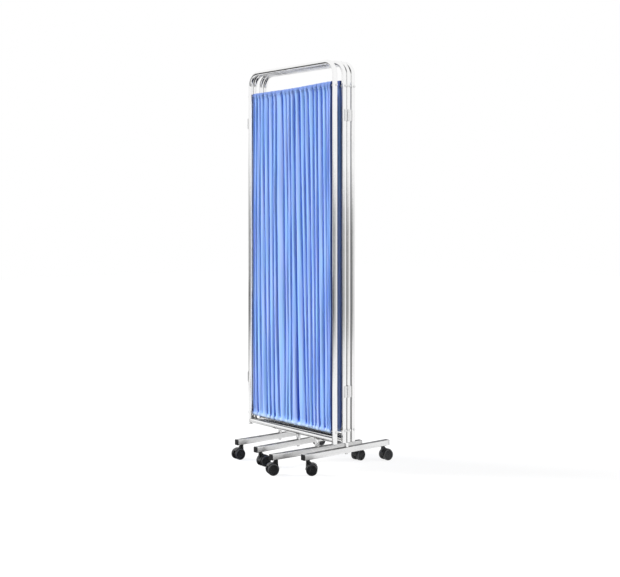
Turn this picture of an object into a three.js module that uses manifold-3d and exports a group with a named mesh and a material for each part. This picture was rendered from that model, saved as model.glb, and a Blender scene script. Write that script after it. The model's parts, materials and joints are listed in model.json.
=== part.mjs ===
// Four-leaf ward privacy screen on castors, folded into a stack, in millimetres with +Z up.
// Each leaf is a bent steel tube frame with a gathered curtain and one castored foot.
// Leaf a is the front one, then b, c and d behind it. X runs along the leaves.
import * as THREE from 'three';
import { mergeVertices } from 'three/addons/utils/BufferGeometryUtils.js';
import Module from 'manifold-3d';

const wasm = await Module();
wasm.setup();

// Leaf frame
const leafHeight = 1800;
const uprightSpacing = 630;
const tubeDiameter = 22;
const bendRadius = 60;
const uprightFoot = 122;
const crossbarHeight = 137;
const stubDiameter = 20;
const tubeSides = 12;
const bendSteps = 5;

// Curtain rods and their cap nuts
const rodDiameter = 8;
const upperRodBelowTop = 116;
const lowerRodAboveCrossbar = 38;
const rodFit = 0.4;
const capNutDiameter = 13;
const capNutHeight = 2.6;
const rodSides = 8;

// Curtain
const curtainSideGap = 8;
const casingWidth = 12.4;
const headerAboveRod = 11;
const casingBelowRod = 11;
const hemBelowRod = 8;
const clothThickness = 1.6;
const foldCount = 14;
const foldDepth = 12;
const foldDepthAtCasing = 7;
const foldSettleLength = 90;
const foldWander = 9;
const upperWanderShare = 0.3;

// Unevenness of the gathers: waves along the leaf that sway the folds and thin some of them,
// and how far each next curtain is shifted along these waves, as a share of the leaf
const swayWaveCounts = [3.1, 5.3];
const depthWaveCount = 4.7;
const thinningShare = 0.22;
const nextCurtainShare = 0.37;
const longestMitreShare = 2;

// Hinges
const leafPitch = 23.6;
const hingePlateThickness = 1.2;
const hingeBarrelDiameter = 6;
const hingePinDiameter = 3;
const hingePinFit = 0.4;
const hingeHeight = 50;
const hingeMiddleBarrel = 20;
const hingePlateReach = 17;
const upperHingeBelowTop = 245;
const lowerHingeAboveFoot = 223;
const barrelSides = 8;

// How far each pair of leaves stands open
const openAngleAB = THREE.MathUtils.degToRad(2.6);
const openAngleBC = THREE.MathUtils.degToRad(1.3);
const openAngleCD = THREE.MathUtils.degToRad(0.3);

// Feet
const footBarSize = 25;
const footBarWall = 1.5;
const footBarCorner = 2.5;
const cornerSteps = 1;
const footBarUnderside = 66;
const footLength = 512;
const plugFlange = 3.5;
const plugSpigot = 12;
const boltDiameter = 8;
const boltHeadAcrossFlats = 13;
const boltHeadHeight = 5.5;
const boltHeadSides = 6;
const washerDiameter = 17;
const washerThickness = 1.6;
const boltIntoStub = 22;

// Castors
const wheelDiameter = 50;
const wheelWidth = 16;
const wheelGap = 12;
const wheelChamfer = 2.5;
const wheelSides = 16;
const axleDiameter = 6.2;
const axleFit = 0.35;
const castorTrail = 17;
const castorWeb = 9;
const castorWebRadius = 14;
const castorWebStart = THREE.MathUtils.degToRad(-135);
const castorWebSteps = 3;
const neckCollarDepth = 7.5;
const hoodClearance = 1.5;
const hoodThickness = 2.5;
const hoodStart = THREE.MathUtils.degToRad(40);
const hoodEnd = THREE.MathUtils.degToRad(178);
const hoodSteps = 6;
const neckDiameter = 17;
const stemDiameter = 10;
const stemIntoBar = 16;
const stemSides = 8;
const castorInset = 30;

// Seating gap between neighbouring solids, and how far a cutter or weld overruns
const seat = 0.3;
const overrun = 2;

// Foot places along each leaf, as shares of the upright spacing from the leaf's middle.
// The angles are each foot's own set on its bolt, then its front and back castors' headings.
const leaves = {
  a: { footShare: 0.303, footSet: 0, castorHeadings: [-110, 95], tint: 0x8fb4f4 },
  b: { footShare: 0.013, footSet: 1.1, castorHeadings: [85, 70], tint: 0x86acef },
  c: { footShare: -0.265, footSet: 0.4, castorHeadings: [-95, 95], tint: 0x82a8ec },
  d: { footShare: 0.4365, footSet: 0.8, castorHeadings: [47, 81], tint: 0x8bb0f2 },
};

// Sizes that follow from the ones above
const tubeRadius = tubeDiameter / 2;
const halfSpacing = uprightSpacing / 2;
const upperRodHeight = leafHeight - upperRodBelowTop;
const lowerRodHeight = crossbarHeight + lowerRodAboveCrossbar;
const upperHingeHeight = leafHeight - upperHingeBelowTop;
const lowerHingeHeight = uprightFoot + lowerHingeAboveFoot;
const barTop = footBarUnderside + footBarSize;
const hingeAxisOut = tubeRadius + seat + hingeBarrelDiameter / 2;
const halfPitch = leafPitch / 2;
const rodHoleRadius = rodDiameter / 2 + rodFit;
const boltHoleRadius = boltDiameter / 2 + rodFit;
const stemHoleRadius = stemDiameter / 2 + rodFit;
const fullTurn = Math.PI * 2;
const quarterTurn = Math.PI / 2;
const xAxis = new THREE.Vector3(1, 0, 0);
const yAxis = new THREE.Vector3(0, 1, 0);
const zAxis = new THREE.Vector3(0, 0, 1);

const steel = { color: 0xd4d7da, roughness: 0.18, metalness: 1.0 };
const brightSteel = { color: 0xc6c9cc, roughness: 0.3, metalness: 1.0 };
const blackNylon = { color: 0x26272a, roughness: 0.5, metalness: 0.0 };
const blackTread = { color: 0x1c1d1f, roughness: 0.65, metalness: 0.0 };

function makeMesh(name, geometry, finish) {
  const mesh = new THREE.Mesh(geometry, new THREE.MeshStandardMaterial(finish));
  mesh.name = name;
  return mesh;
}

function welded(geometry) {
  const bare = geometry.clone();
  bare.deleteAttribute('normal');
  bare.deleteAttribute('uv');
  return mergeVertices(bare);
}

function toSolid(geometry) {
  const merged = welded(geometry);
  const vertProperties = new Float32Array(merged.attributes.position.array);
  const triVerts = new Uint32Array(merged.index.array);
  return new wasm.Manifold(new wasm.Mesh({ numProp: 3, vertProperties, triVerts }));
}

function toGeometry(solid) {
  const result = solid.getMesh();
  const geometry = new THREE.BufferGeometry();
  geometry.setAttribute('position', new THREE.BufferAttribute(result.vertProperties, 3));
  geometry.setIndex(new THREE.BufferAttribute(result.triVerts, 1));
  geometry.computeVertexNormals();
  return geometry;
}

function joined(geometries) {
  return geometries.map(toSolid).reduce((whole, piece) => whole.add(piece));
}

// Cylinder of radius r from one height to another along an axis, with a flat facing each way
function rod(radius, from, to, axis, sides) {
  const geometry = new THREE.CylinderGeometry(radius, radius, to - from, sides);
  geometry.rotateY(Math.PI / sides);
  geometry.translate(0, (from + to) / 2, 0);
  geometry.applyQuaternion(new THREE.Quaternion().setFromUnitVectors(yAxis, axis));
  return geometry;
}

function block(xRange, yRange, zRange) {
  const spans = [xRange, yRange, zRange].map(([low, high]) => high - low);
  const middles = [xRange, yRange, zRange].map(([low, high]) => (low + high) / 2);
  return new THREE.BoxGeometry(...spans).translate(...middles);
}

// Turned form about Z from a list of radius and height pairs
function turned(profile, sides) {
  const points = profile.map(([radius, height]) => new THREE.Vector2(radius, height));
  return new THREE.LatheGeometry(points, sides, Math.PI / sides).rotateX(quarterTurn);
}

// Path through hand-placed stations, so that straight runs need no steps of their own
class StationPath extends THREE.Curve {
  constructor(stations) {
    super();
    this.stations = stations;
  }

  getPoint(t) {
    const place = t * (this.stations.length - 1);
    const index = Math.min(Math.floor(place), this.stations.length - 2);
    return this.stations[index].clone().lerp(this.stations[index + 1], place - index);
  }

  getUtoTmapping(u) {
    return u;
  }
}

function frameStations() {
  const bendTop = leafHeight - tubeRadius - bendRadius;
  const bendX = halfSpacing - bendRadius;
  const stations = [new THREE.Vector3(-halfSpacing, 0, uprightFoot)];
  for (let step = 0; step <= bendSteps; step += 1) {
    const angle = Math.PI - (quarterTurn * step) / bendSteps;
    stations.push(new THREE.Vector3(
      -bendX + bendRadius * Math.cos(angle), 0, bendTop + bendRadius * Math.sin(angle)));
  }
  const mirrored = stations.map((point) => new THREE.Vector3(-point.x, point.y, point.z));
  return stations.concat(mirrored.reverse());
}

// Bent upright and top tube, the welded crossbar and the stub that the foot bolts to
function frameGeometry(footX) {
  const path = new StationPath(frameStations());
  const section = new THREE.Shape().absarc(0, 0, tubeRadius, 0, fullTurn, false);
  const bentTube = new THREE.ExtrudeGeometry(section, {
    steps: path.stations.length - 1, curveSegments: tubeSides / 2, extrudePath: path });
  const crossbar = rod(tubeRadius, -halfSpacing, halfSpacing, xAxis, tubeSides);
  crossbar.translate(0, 0, crossbarHeight);
  const stub = rod(stubDiameter / 2, barTop + seat, crossbarHeight, zAxis, tubeSides);
  stub.translate(footX, 0, 0);
  const boltHole = rod(boltHoleRadius, barTop - overrun, barTop + boltIntoStub + overrun, zAxis, stemSides);
  boltHole.translate(footX, 0, 0);
  let solid = joined([bentTube, crossbar, stub]).subtract(toSolid(boltHole));
  for (const height of [upperRodHeight, lowerRodHeight]) {
    const reach = halfSpacing + tubeDiameter;
    const hole = rod(rodHoleRadius, -reach, reach, xAxis, rodSides).translate(0, 0, height);
    solid = solid.subtract(toSolid(hole));
  }
  return toGeometry(solid);
}

// Rod through both uprights with a low cap nut on each end
function curtainRodGeometry() {
  const seatX = halfSpacing + tubeRadius + seat;
  const nutRadius = capNutDiameter / 2;
  const half = [
    [rodDiameter / 2, seatX], [nutRadius, seatX],
    [nutRadius, seatX + capNutHeight], [0, seatX + capNutHeight]];
  const mirrored = half.map(([radius, height]) => [radius, -height]).reverse();
  const geometry = turned(mirrored.concat(half), rodSides);
  return geometry.applyQuaternion(new THREE.Quaternion().setFromUnitVectors(zAxis, xAxis));
}

// Offset of a polyline's corner to one side by a distance, with a mitre
function mitred(points, index, distance) {
  const before = points[Math.max(index - 1, 0)];
  const after = points[Math.min(index + 1, points.length - 1)];
  const here = points[index];
  const arriving = here.clone().sub(before).normalize();
  const leaving = after.clone().sub(here).normalize();
  const along = arriving.add(leaving).normalize();
  const flank = index > 0 ? here.clone().sub(before).normalize() : along;
  const normal = new THREE.Vector2(-along.y, along.x);
  const stretch = Math.min(1 / normal.dot(new THREE.Vector2(-flank.y, flank.x)), longestMitreShare);
  return here.clone().addScaledVector(normal, distance * stretch);
}

// Centre line of the gathered cloth at one height: flat-topped folds of uneven width
function foldLine(depth, wander, shift) {
  const width = uprightSpacing - tubeDiameter - 2 * curtainSideGap;
  const cornerShares = [0.1, 0.4, 0.6, 0.9];
  const sides = [1, 1, -1, -1];
  const points = [];
  for (let corner = 0; corner < foldCount * cornerShares.length; corner += 1) {
    const fold = Math.floor(corner / cornerShares.length);
    const place = (fold + cornerShares[corner % cornerShares.length]) / foldCount;
    const taper = Math.sin(Math.PI * place);
    const wave = (count) => Math.sin(fullTurn * count * (place + shift));
    const sway = swayWaveCounts.reduce((sum, count) => sum + wave(count), 0) / swayWaveCounts.length;
    const fullness = 1 - thinningShare * Math.max(-wave(depthWaveCount), 0);
    points.push(new THREE.Vector2(
      -width / 2 + width * place + wander * taper * sway,
      sides[corner % sides.length] * (depth / 2) * fullness));
  }
  points[0].x = -width / 2;
  points[points.length - 1].x = width / 2;
  return points;
}

// Folded sheet between the two casings, as one closed skin
function foldedSheetGeometry(shift) {
  const top = upperRodHeight - rodHoleRadius - clothThickness;
  const bottom = lowerRodHeight + rodHoleRadius + clothThickness;
  const levels = [
    [bottom, foldDepthAtCasing, foldWander], [bottom + foldSettleLength, foldDepth, foldWander],
    [top - foldSettleLength, foldDepth, foldWander * upperWanderShare],
    [top, foldDepthAtCasing, foldWander * upperWanderShare]];
  const rings = levels.map(([height, depth, wander]) => {
    const line = foldLine(depth, wander, shift);
    const front = line.map((point, index) => mitred(line, index, -clothThickness / 2));
    const back = line.map((point, index) => mitred(line, index, clothThickness / 2)).reverse();
    return front.concat(back).map((point) => [point.x, point.y, height]);
  });
  const count = rings[0].length;
  const positions = rings.flat(2);
  const faces = [];
  for (let ring = 0; ring < rings.length - 1; ring += 1) {
    for (let index = 0; index < count; index += 1) {
      const next = (index + 1) % count;
      const low = ring * count;
      const high = low + count;
      faces.push(low + index, low + next, high + next, low + index, high + next, high + index);
    }
  }
  const topRing = (rings.length - 1) * count;
  for (let index = 0; index < count / 2 - 1; index += 1) {
    const opposite = count - 1 - index;
    faces.push(index, opposite - 1, index + 1, index, opposite, opposite - 1);
    faces.push(topRing + index, topRing + index + 1, topRing + opposite - 1);
    faces.push(topRing + index, topRing + opposite - 1, topRing + opposite);
  }
  const geometry = new THREE.BufferGeometry();
  geometry.setAttribute('position', new THREE.Float32BufferAttribute(positions, 3));
  geometry.setIndex(faces);
  return geometry;
}

// Sewn casing round a rod: an upright oval with the rod's channel through it
function casingGeometry(rodHeight, below, above) {
  const half = casingWidth / 2;
  const cornerShare = 0.55;
  const outline = new THREE.Shape([
    new THREE.Vector2(-half * cornerShare, rodHeight - below),
    new THREE.Vector2(half * cornerShare, rodHeight - below),
    new THREE.Vector2(half, rodHeight - below * cornerShare),
    new THREE.Vector2(half, rodHeight + above * cornerShare),
    new THREE.Vector2(half * cornerShare, rodHeight + above),
    new THREE.Vector2(-half * cornerShare, rodHeight + above),
    new THREE.Vector2(-half, rodHeight + above * cornerShare),
    new THREE.Vector2(-half, rodHeight - below * cornerShare)]);
  outline.holes.push(new THREE.Path().absarc(0, rodHeight, rodHoleRadius, 0, fullTurn, true));
  const width = uprightSpacing - tubeDiameter - 2 * curtainSideGap;
  const geometry = new THREE.ExtrudeGeometry(outline, {
    depth: width, bevelEnabled: false, curveSegments: rodSides / 2 });
  return geometry.translate(0, 0, -width / 2).rotateX(quarterTurn).rotateZ(quarterTurn);
}

function curtainGeometry(shift) {
  const header = casingGeometry(upperRodHeight, casingBelowRod, headerAboveRod);
  const hem = casingGeometry(lowerRodHeight, hemBelowRod, casingBelowRod);
  return toGeometry(joined([header, hem, foldedSheetGeometry(shift)]));
}

// Hinge leaf about its pin, for the tube that stands at -X and -Y of the pin.
// The pinned leaf holds both end barrels and the pin, the plain one the middle barrel.
function hingeLeafGeometry(pinned) {
  const barrel = hingeBarrelDiameter / 2;
  const half = hingeHeight / 2;
  const middle = hingeMiddleBarrel / 2;
  const plateX = [-barrel, -barrel + hingePlateThickness];
  const clearOfBarrel = -barrel - seat;
  const plate = block(plateX, [clearOfBarrel - hingePlateReach, clearOfBarrel], [-half, half]);
  const tabY = [clearOfBarrel - seat, 0];
  if (pinned) {
    const core = turned([
      [0, -half], [barrel, -half], [barrel, -middle - seat], [hingePinDiameter / 2, -middle - seat],
      [hingePinDiameter / 2, middle + seat], [barrel, middle + seat], [barrel, half], [0, half]], barrelSides);
    const lowTab = block(plateX, tabY, [-half, -middle - seat]);
    const highTab = block(plateX, tabY, [middle + seat, half]);
    return toGeometry(joined([plate, core, lowTab, highTab]));
  }
  const bore = rod(hingePinDiameter / 2 + hingePinFit, -half, half, zAxis, barrelSides);
  const sleeve = rod(barrel, -middle, middle, zAxis, barrelSides);
  const tab = block(plateX, tabY, [-middle, middle]);
  return toGeometry(joined([plate, sleeve, tab]).subtract(toSolid(bore)));
}

function squareOutline(size, corner) {
  const half = size / 2;
  const inner = half - corner;
  const outline = new THREE.Shape();
  outline.moveTo(inner, -half);
  outline.absarc(inner, -inner, corner, -quarterTurn, 0, false);
  outline.absarc(inner, inner, corner, 0, quarterTurn, false);
  outline.absarc(-inner, inner, corner, quarterTurn, Math.PI, false);
  outline.absarc(-inner, -inner, corner, Math.PI, Math.PI + quarterTurn, false);
  return outline;
}

// Square section extruded along Y, between two places
function squareBar(outline, from, to) {
  const geometry = new THREE.ExtrudeGeometry(outline, {
    depth: to - from, bevelEnabled: false, curveSegments: cornerSteps });
  return geometry.translate(0, 0, from).rotateX(-quarterTurn);
}

// Foot about its bolt at floor height: hollow square bar with the bolt's and the stems' holes
function footBarGeometry() {
  const half = footLength / 2 - plugFlange - seat;
  const outline = squareOutline(footBarSize, footBarCorner);
  const inside = footBarSize / 2 - footBarWall;
  outline.holes.push(new THREE.Path([
    new THREE.Vector2(-inside, -inside), new THREE.Vector2(-inside, inside),
    new THREE.Vector2(inside, inside), new THREE.Vector2(inside, -inside)]));
  const bar = squareBar(outline, -half, half).translate(0, 0, (footBarUnderside + barTop) / 2);
  const boltHole = rod(boltHoleRadius, footBarUnderside - overrun, barTop + overrun, zAxis, stemSides);
  let solid = toSolid(bar).subtract(toSolid(boltHole));
  for (const side of [-1, 1]) {
    const stemTop = footBarUnderside + footBarWall + overrun;
    const stemHole = rod(stemHoleRadius, footBarUnderside - overrun, stemTop, zAxis, stemSides);
    stemHole.translate(0, side * (footLength / 2 - castorInset), 0);
    solid = solid.subtract(toSolid(stemHole));
  }
  return toGeometry(solid);
}

// Black plug for the bar's +Y end, about the middle of the bar's section and the flange's outer face
function endPlugGeometry() {
  const flange = squareBar(squareOutline(footBarSize, footBarCorner), -plugFlange, 0);
  const spigotSize = footBarSize - 2 * footBarWall - 2 * seat;
  const spigot = squareBar(squareOutline(spigotSize, footBarWall), -plugFlange - plugSpigot, -plugFlange / 2);
  return toGeometry(joined([flange, spigot]));
}

// Hexagon bolt up through the foot bar into the stub
function footBoltGeometry() {
  const washerTop = footBarUnderside - seat;
  const washerBottom = washerTop - washerThickness;
  const shankTop = barTop + boltIntoStub - seat;
  const shank = turned([
    [0, washerBottom], [washerDiameter / 2, washerBottom], [washerDiameter / 2, washerTop],
    [boltDiameter / 2, washerTop], [boltDiameter / 2, shankTop], [0, shankTop]], stemSides);
  const headRadius = boltHeadAcrossFlats / 2 / Math.cos(Math.PI / boltHeadSides);
  const headHeight = boltHeadHeight + washerThickness / 2;
  const head = new THREE.CylinderGeometry(headRadius, headRadius, headHeight, boltHeadSides);
  head.rotateX(quarterTurn);
  head.translate(0, 0, washerBottom - boltHeadHeight / 2 + washerThickness / 4);
  return toGeometry(joined([shank, head]));
}

// Castor housing about its stem at floor height, trailing along +X: web between the wheels,
// hood over them, neck and stem
function castorForkGeometry() {
  const wheelRadius = wheelDiameter / 2;
  const inner = wheelRadius + hoodClearance;
  const outer = inner + hoodThickness;
  const width = wheelGap + 2 * wheelWidth;
  const hoodOutline = new THREE.Shape();
  hoodOutline.absarc(0, 0, outer, hoodStart, hoodEnd, false);
  hoodOutline.absarc(0, 0, inner, hoodEnd, hoodStart, true);
  const hood = new THREE.ExtrudeGeometry(hoodOutline, {
    depth: width, bevelEnabled: false, curveSegments: hoodSteps / 2 });
  hood.translate(0, 0, -width / 2).rotateX(quarterTurn);
  const neckTop = footBarUnderside - seat - wheelRadius;
  const neckRadius = neckDiameter / 2;
  const webOutline = new THREE.Shape();
  webOutline.absarc(0, 0, castorWebRadius, castorWebStart, hoodStart, false);
  webOutline.lineTo(outer * Math.cos(hoodStart), outer * Math.sin(hoodStart));
  webOutline.lineTo(0, outer);
  webOutline.lineTo(-castorTrail + neckRadius, neckTop - hoodThickness);
  webOutline.lineTo(-castorTrail - neckRadius, neckTop - hoodThickness);
  webOutline.lineTo(-castorTrail - neckRadius, neckTop - neckCollarDepth);
  webOutline.lineTo(-outer, 0);
  const web = new THREE.ExtrudeGeometry(webOutline, {
    depth: castorWeb, bevelEnabled: false, curveSegments: castorWebSteps });
  web.translate(0, 0, -castorWeb / 2).rotateX(quarterTurn);
  const neckFoot = outer - hoodThickness / 2;
  const stemTop = neckTop + seat + stemIntoBar;
  const stem = turned([
    [0, neckFoot], [neckRadius, neckFoot], [neckRadius, neckTop], [stemDiameter / 2, neckTop],
    [stemDiameter / 2, stemTop], [0, stemTop]], stemSides);
  stem.translate(-castorTrail, 0, 0);
  const bore = rod(axleDiameter / 2 + axleFit, -width, width, yAxis, stemSides);
  const solid = joined([hood, web, stem]).subtract(toSolid(bore));
  return toGeometry(solid).translate(castorTrail, 0, wheelRadius);
}

// Twin wheels on their axle, turned as one about Y, with a flat of the tread facing down
function castorWheelsGeometry() {
  const radius = wheelDiameter / 2 / Math.cos(Math.PI / wheelSides);
  const inner = wheelGap / 2;
  const outer = inner + wheelWidth;
  const axle = axleDiameter / 2;
  const half = [
    [axle, inner], [radius, inner], [radius, outer - wheelChamfer], [radius - wheelChamfer, outer], [0, outer]];
  const mirrored = half.map(([distance, height]) => [distance, -height]).reverse();
  const geometry = turned(mirrored.concat(half), wheelSides);
  return geometry.applyQuaternion(new THREE.Quaternion().setFromUnitVectors(zAxis, yAxis));
}

const shared = {
  rod: curtainRodGeometry(),
  pinnedLeaf: hingeLeafGeometry(true),
  plainLeaf: hingeLeafGeometry(false),
  footBar: footBarGeometry(),
  endPlug: endPlugGeometry(),
  footBolt: footBoltGeometry(),
  castorFork: castorForkGeometry(),
  castorWheels: castorWheelsGeometry(),
};

function addCastor(foot, label, side, heading) {
  const castor = new THREE.Group();
  castor.position.set(0, side * (footLength / 2 - castorInset), 0);
  castor.rotation.z = THREE.MathUtils.degToRad(heading);
  castor.add(makeMesh(`castor_fork_${label}`, shared.castorFork, blackNylon));
  const wheels = makeMesh(`castor_wheels_${label}`, shared.castorWheels, blackTread);
  wheels.position.set(castorTrail, 0, wheelDiameter / 2);
  castor.add(wheels);
  foot.add(castor);
}

function makeFoot(name, leaf) {
  const foot = new THREE.Group();
  foot.position.x = leaf.footShare * uprightSpacing;
  foot.rotation.z = THREE.MathUtils.degToRad(leaf.footSet);
  foot.add(makeMesh(`foot_bar_${name}`, shared.footBar, steel));
  foot.add(makeMesh(`foot_bolt_${name}`, shared.footBolt, brightSteel));
  [['front', -1], ['back', 1]].forEach(([end, side], index) => {
    const plug = makeMesh(`end_plug_${name}_${end}`, shared.endPlug, blackNylon);
    plug.position.set(0, side * footLength / 2, (footBarUnderside + barTop) / 2);
    plug.rotation.z = side > 0 ? 0 : Math.PI;
    foot.add(plug);
    addCastor(foot, `${name}_${end}`, side, leaf.castorHeadings[index]);
  });
  return foot;
}

function makeLeaf(name, leaf, shift) {
  const group = new THREE.Group();
  group.add(makeMesh(`frame_${name}`, frameGeometry(leaf.footShare * uprightSpacing), steel));
  for (const [place, height] of [['upper', upperRodHeight], ['lower', lowerRodHeight]]) {
    const rodMesh = makeMesh(`${place}_rod_${name}`, shared.rod, brightSteel);
    rodMesh.position.z = height;
    group.add(rodMesh);
  }
  const cloth = { color: leaf.tint, roughness: 0.85, metalness: 0 };
  group.add(makeMesh(`curtain_${name}`, curtainGeometry(shift), cloth));
  group.add(makeFoot(name, leaf));
  return group;
}

// Hinge halves for the pair of leaves that meet at one side, hung on each leaf's own group.
// side is +1 at the right-hand uprights; facing is +1 where the partner stands behind.
function addHingeLeaves(group, pair, side, facing, pinned) {
  for (const [place, height] of [['upper', upperHingeHeight], ['lower', lowerHingeHeight]]) {
    const kind = pinned ? 'pinned' : 'plain';
    const mesh = makeMesh(
      `hinge_${pair}_${place}_${kind}`, pinned ? shared.pinnedLeaf : shared.plainLeaf, brightSteel);
    mesh.position.set(side * (halfSpacing + hingeAxisOut), facing * halfPitch, height);
    if (side * facing > 0) {
      mesh.rotation.z = side > 0 ? 0 : Math.PI;
    } else {
      mesh.rotation.x = Math.PI;
      mesh.rotation.z = side > 0 ? 0 : Math.PI;
    }
    group.add(mesh);
  }
}

// Hang one leaf on another: the pin's place in the carrying leaf, then the swing about it
function hang(carrier, leafGroup, side, facing, swing) {
  const pin = new THREE.Group();
  pin.position.set(side * (halfSpacing + hingeAxisOut), facing * halfPitch, 0);
  pin.rotation.z = swing;
  leafGroup.position.set(-side * (halfSpacing + hingeAxisOut), facing * halfPitch, 0);
  pin.add(leafGroup);
  carrier.add(pin);
}

const built = {};
Object.entries(leaves).forEach(([name, leaf], index) => {
  built[name] = makeLeaf(name, leaf, index * nextCurtainShare);
});
addHingeLeaves(built.b, 'ab', -1, -1, true);
addHingeLeaves(built.a, 'ab', -1, 1, false);
addHingeLeaves(built.b, 'bc', 1, 1, true);
addHingeLeaves(built.c, 'bc', 1, -1, false);
addHingeLeaves(built.c, 'cd', -1, 1, true);
addHingeLeaves(built.d, 'cd', -1, -1, false);
hang(built.b, built.a, -1, -1, -openAngleAB);
hang(built.b, built.c, 1, 1, -openAngleBC);
hang(built.c, built.d, -1, 1, openAngleCD);

const screen = new THREE.Group();
screen.add(built.b);
screen.updateMatrixWorld(true);
const extent = new THREE.Box3().setFromObject(screen, true);
const middle = extent.getCenter(new THREE.Vector3());
screen.position.set(-middle.x, -middle.y, -extent.min.z);

export default screen;
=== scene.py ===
import json
import math

import bmesh
import bpy
import numpy as np
from mathutils import Matrix, Vector


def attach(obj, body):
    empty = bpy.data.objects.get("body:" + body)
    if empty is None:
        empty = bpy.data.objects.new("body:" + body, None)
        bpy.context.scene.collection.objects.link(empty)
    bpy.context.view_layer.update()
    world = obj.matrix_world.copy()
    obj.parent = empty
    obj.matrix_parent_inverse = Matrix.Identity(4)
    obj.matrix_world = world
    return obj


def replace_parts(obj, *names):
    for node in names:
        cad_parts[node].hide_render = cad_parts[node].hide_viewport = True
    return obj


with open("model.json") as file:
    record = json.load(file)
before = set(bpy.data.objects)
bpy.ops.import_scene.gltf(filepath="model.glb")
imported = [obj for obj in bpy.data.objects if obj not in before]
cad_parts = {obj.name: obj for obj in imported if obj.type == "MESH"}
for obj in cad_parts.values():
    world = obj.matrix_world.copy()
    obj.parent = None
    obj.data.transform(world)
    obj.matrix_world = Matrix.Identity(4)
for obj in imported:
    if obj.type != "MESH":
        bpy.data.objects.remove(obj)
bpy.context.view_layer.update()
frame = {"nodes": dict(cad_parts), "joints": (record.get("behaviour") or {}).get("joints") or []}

MM = 0.001
FULL_TURN = 2 * math.pi
QUARTER_TURN = math.pi / 2
RIGHT = Vector((1, 0, 0))
BACK = Vector((0, 1, 0))
UP = Vector((0, 0, 1))


def mm(*pairs):
    """Pairs of millimetres as metres."""
    return [(first * MM, second * MM) for first, second in pairs]


# Leaf frame
LEAVES = "abcd"
LEAF_HEIGHT = 1800 * MM
UPRIGHT_SPACING = 630 * MM
HALF_SPACING = UPRIGHT_SPACING / 2
TUBE_RADIUS = 11 * MM
BEND_RADIUS = 60 * MM
UPRIGHT_FOOT = 122 * MM
CROSSBAR_HEIGHT = 137 * MM
STUB_RADIUS = 10 * MM
WELD_RADIUS = 1.5 * MM

# Curtain rods
ROD_RADIUS = 4 * MM
UPPER_ROD_HEIGHT = LEAF_HEIGHT - 116 * MM
LOWER_ROD_HEIGHT = CROSSBAR_HEIGHT + 38 * MM
CAP_NUT_RADIUS = 6.5 * MM
CAP_NUT_HEIGHT = 2.8 * MM
CAP_NUT_SIDE = 0.8 * MM
CAP_NUT_EDGE = 0.3 * MM

# Curtains: where the cloth begins and ends beside the uprights, and its thickness
LEFT_GAP = 10 * MM
RIGHT_GAP = 8 * MM
LEFT_EDGE = TUBE_RADIUS + LEFT_GAP - HALF_SPACING
RIGHT_EDGE = HALF_SPACING - TUBE_RADIUS - RIGHT_GAP
CLOTH_THICKNESS = 0.45 * MM

# The skirt hangs between two stitched rows, and the two casings wrap it round the rods
CASING_HALF_WIDTH = 5.4 * MM
HEADER_TOP = UPPER_ROD_HEIGHT + 11 * MM
HEADER_STITCH = UPPER_ROD_HEIGHT - 7.5 * MM
HEM_STITCH = LOWER_ROD_HEIGHT + 11 * MM
HEM_BOTTOM = LOWER_ROD_HEIGHT - 8 * MM

# Heights of the stitched rows over the cut cloth, counted from the upper one
HEADER_ROW = 0.0
HEM_ROW = HEM_STITCH - HEADER_STITCH

# Feet
BAR_SIZE = 25 * MM
BAR_WALL = 1.5 * MM
BAR_CORNER = 2.8 * MM
BAR_UNDERSIDE = 66 * MM
BAR_MIDDLE = BAR_UNDERSIDE + BAR_SIZE / 2
FOOT_LENGTH = 512 * MM
PLUG_FLANGE = 3.5 * MM
SPIGOT_LENGTH = 12 * MM
SPIGOT_CORNER = 1.2 * MM
BOLT_RADIUS = 4 * MM
BOLT_REACH = 20 * MM
BOLT_HEAD_ACROSS_FLATS = 13 * MM
BOLT_HEAD_HEIGHT = 5.5 * MM
WASHER_RADIUS = 8.5 * MM
WASHER_THICKNESS = 1.6 * MM

# Castors
WHEEL_RADIUS = 25 * MM
WHEEL_WIDTH = 16 * MM
WHEEL_GAP = 12 * MM
AXLE_RADIUS = 3.1 * MM
AXLE_OVERLAP = 2 * MM
CASTOR_TRAIL = 17 * MM
HOOD_INNER = WHEEL_RADIUS + 0.9 * MM
HOOD_THICKNESS = 1.8 * MM
HOOD_OUTER = HOOD_INNER + HOOD_THICKNESS
HOOD_HALF_WIDTH = 14 * MM
HOOD_START = math.radians(38)
HOOD_END = math.radians(180)
WEB_HALF_THICKNESS = 4.5 * MM
WEB_HUB_RADIUS = 14 * MM
NECK_RADIUS = 8.5 * MM
NECK_BELOW_HOOD = 6 * MM
NECK_FLARE = 2 * MM
STEM_RADIUS = 5 * MM
STEM_LENGTH = 16 * MM
STEM_EDGE = 1 * MM

# Hinges
LEAF_PITCH = 23.6 * MM
HINGE_PLATE = 1.2 * MM
HINGE_BARREL = 3 * MM
HINGE_HALF_HEIGHT = 25 * MM
HINGE_MIDDLE_HALF = 10 * MM
HINGE_REACH = 17 * MM
HINGE_PIN_RADIUS = 1.4 * MM
HINGE_HEIGHTS = {"upper": LEAF_HEIGHT - 245 * MM, "lower": UPRIGHT_FOOT + 223 * MM}

# Clearance between neighbouring pieces
SEAT = 0.3 * MM

# Sides of round forms
WHEEL_SIDES = 72
TUBE_SIDES = 40
STUB_SIDES = 36
END_CAP_SIDES = 32
ROD_SIDES = 24
SHANK_SIDES = 20
RIVET_SIDES = 16


# Shapes

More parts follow.
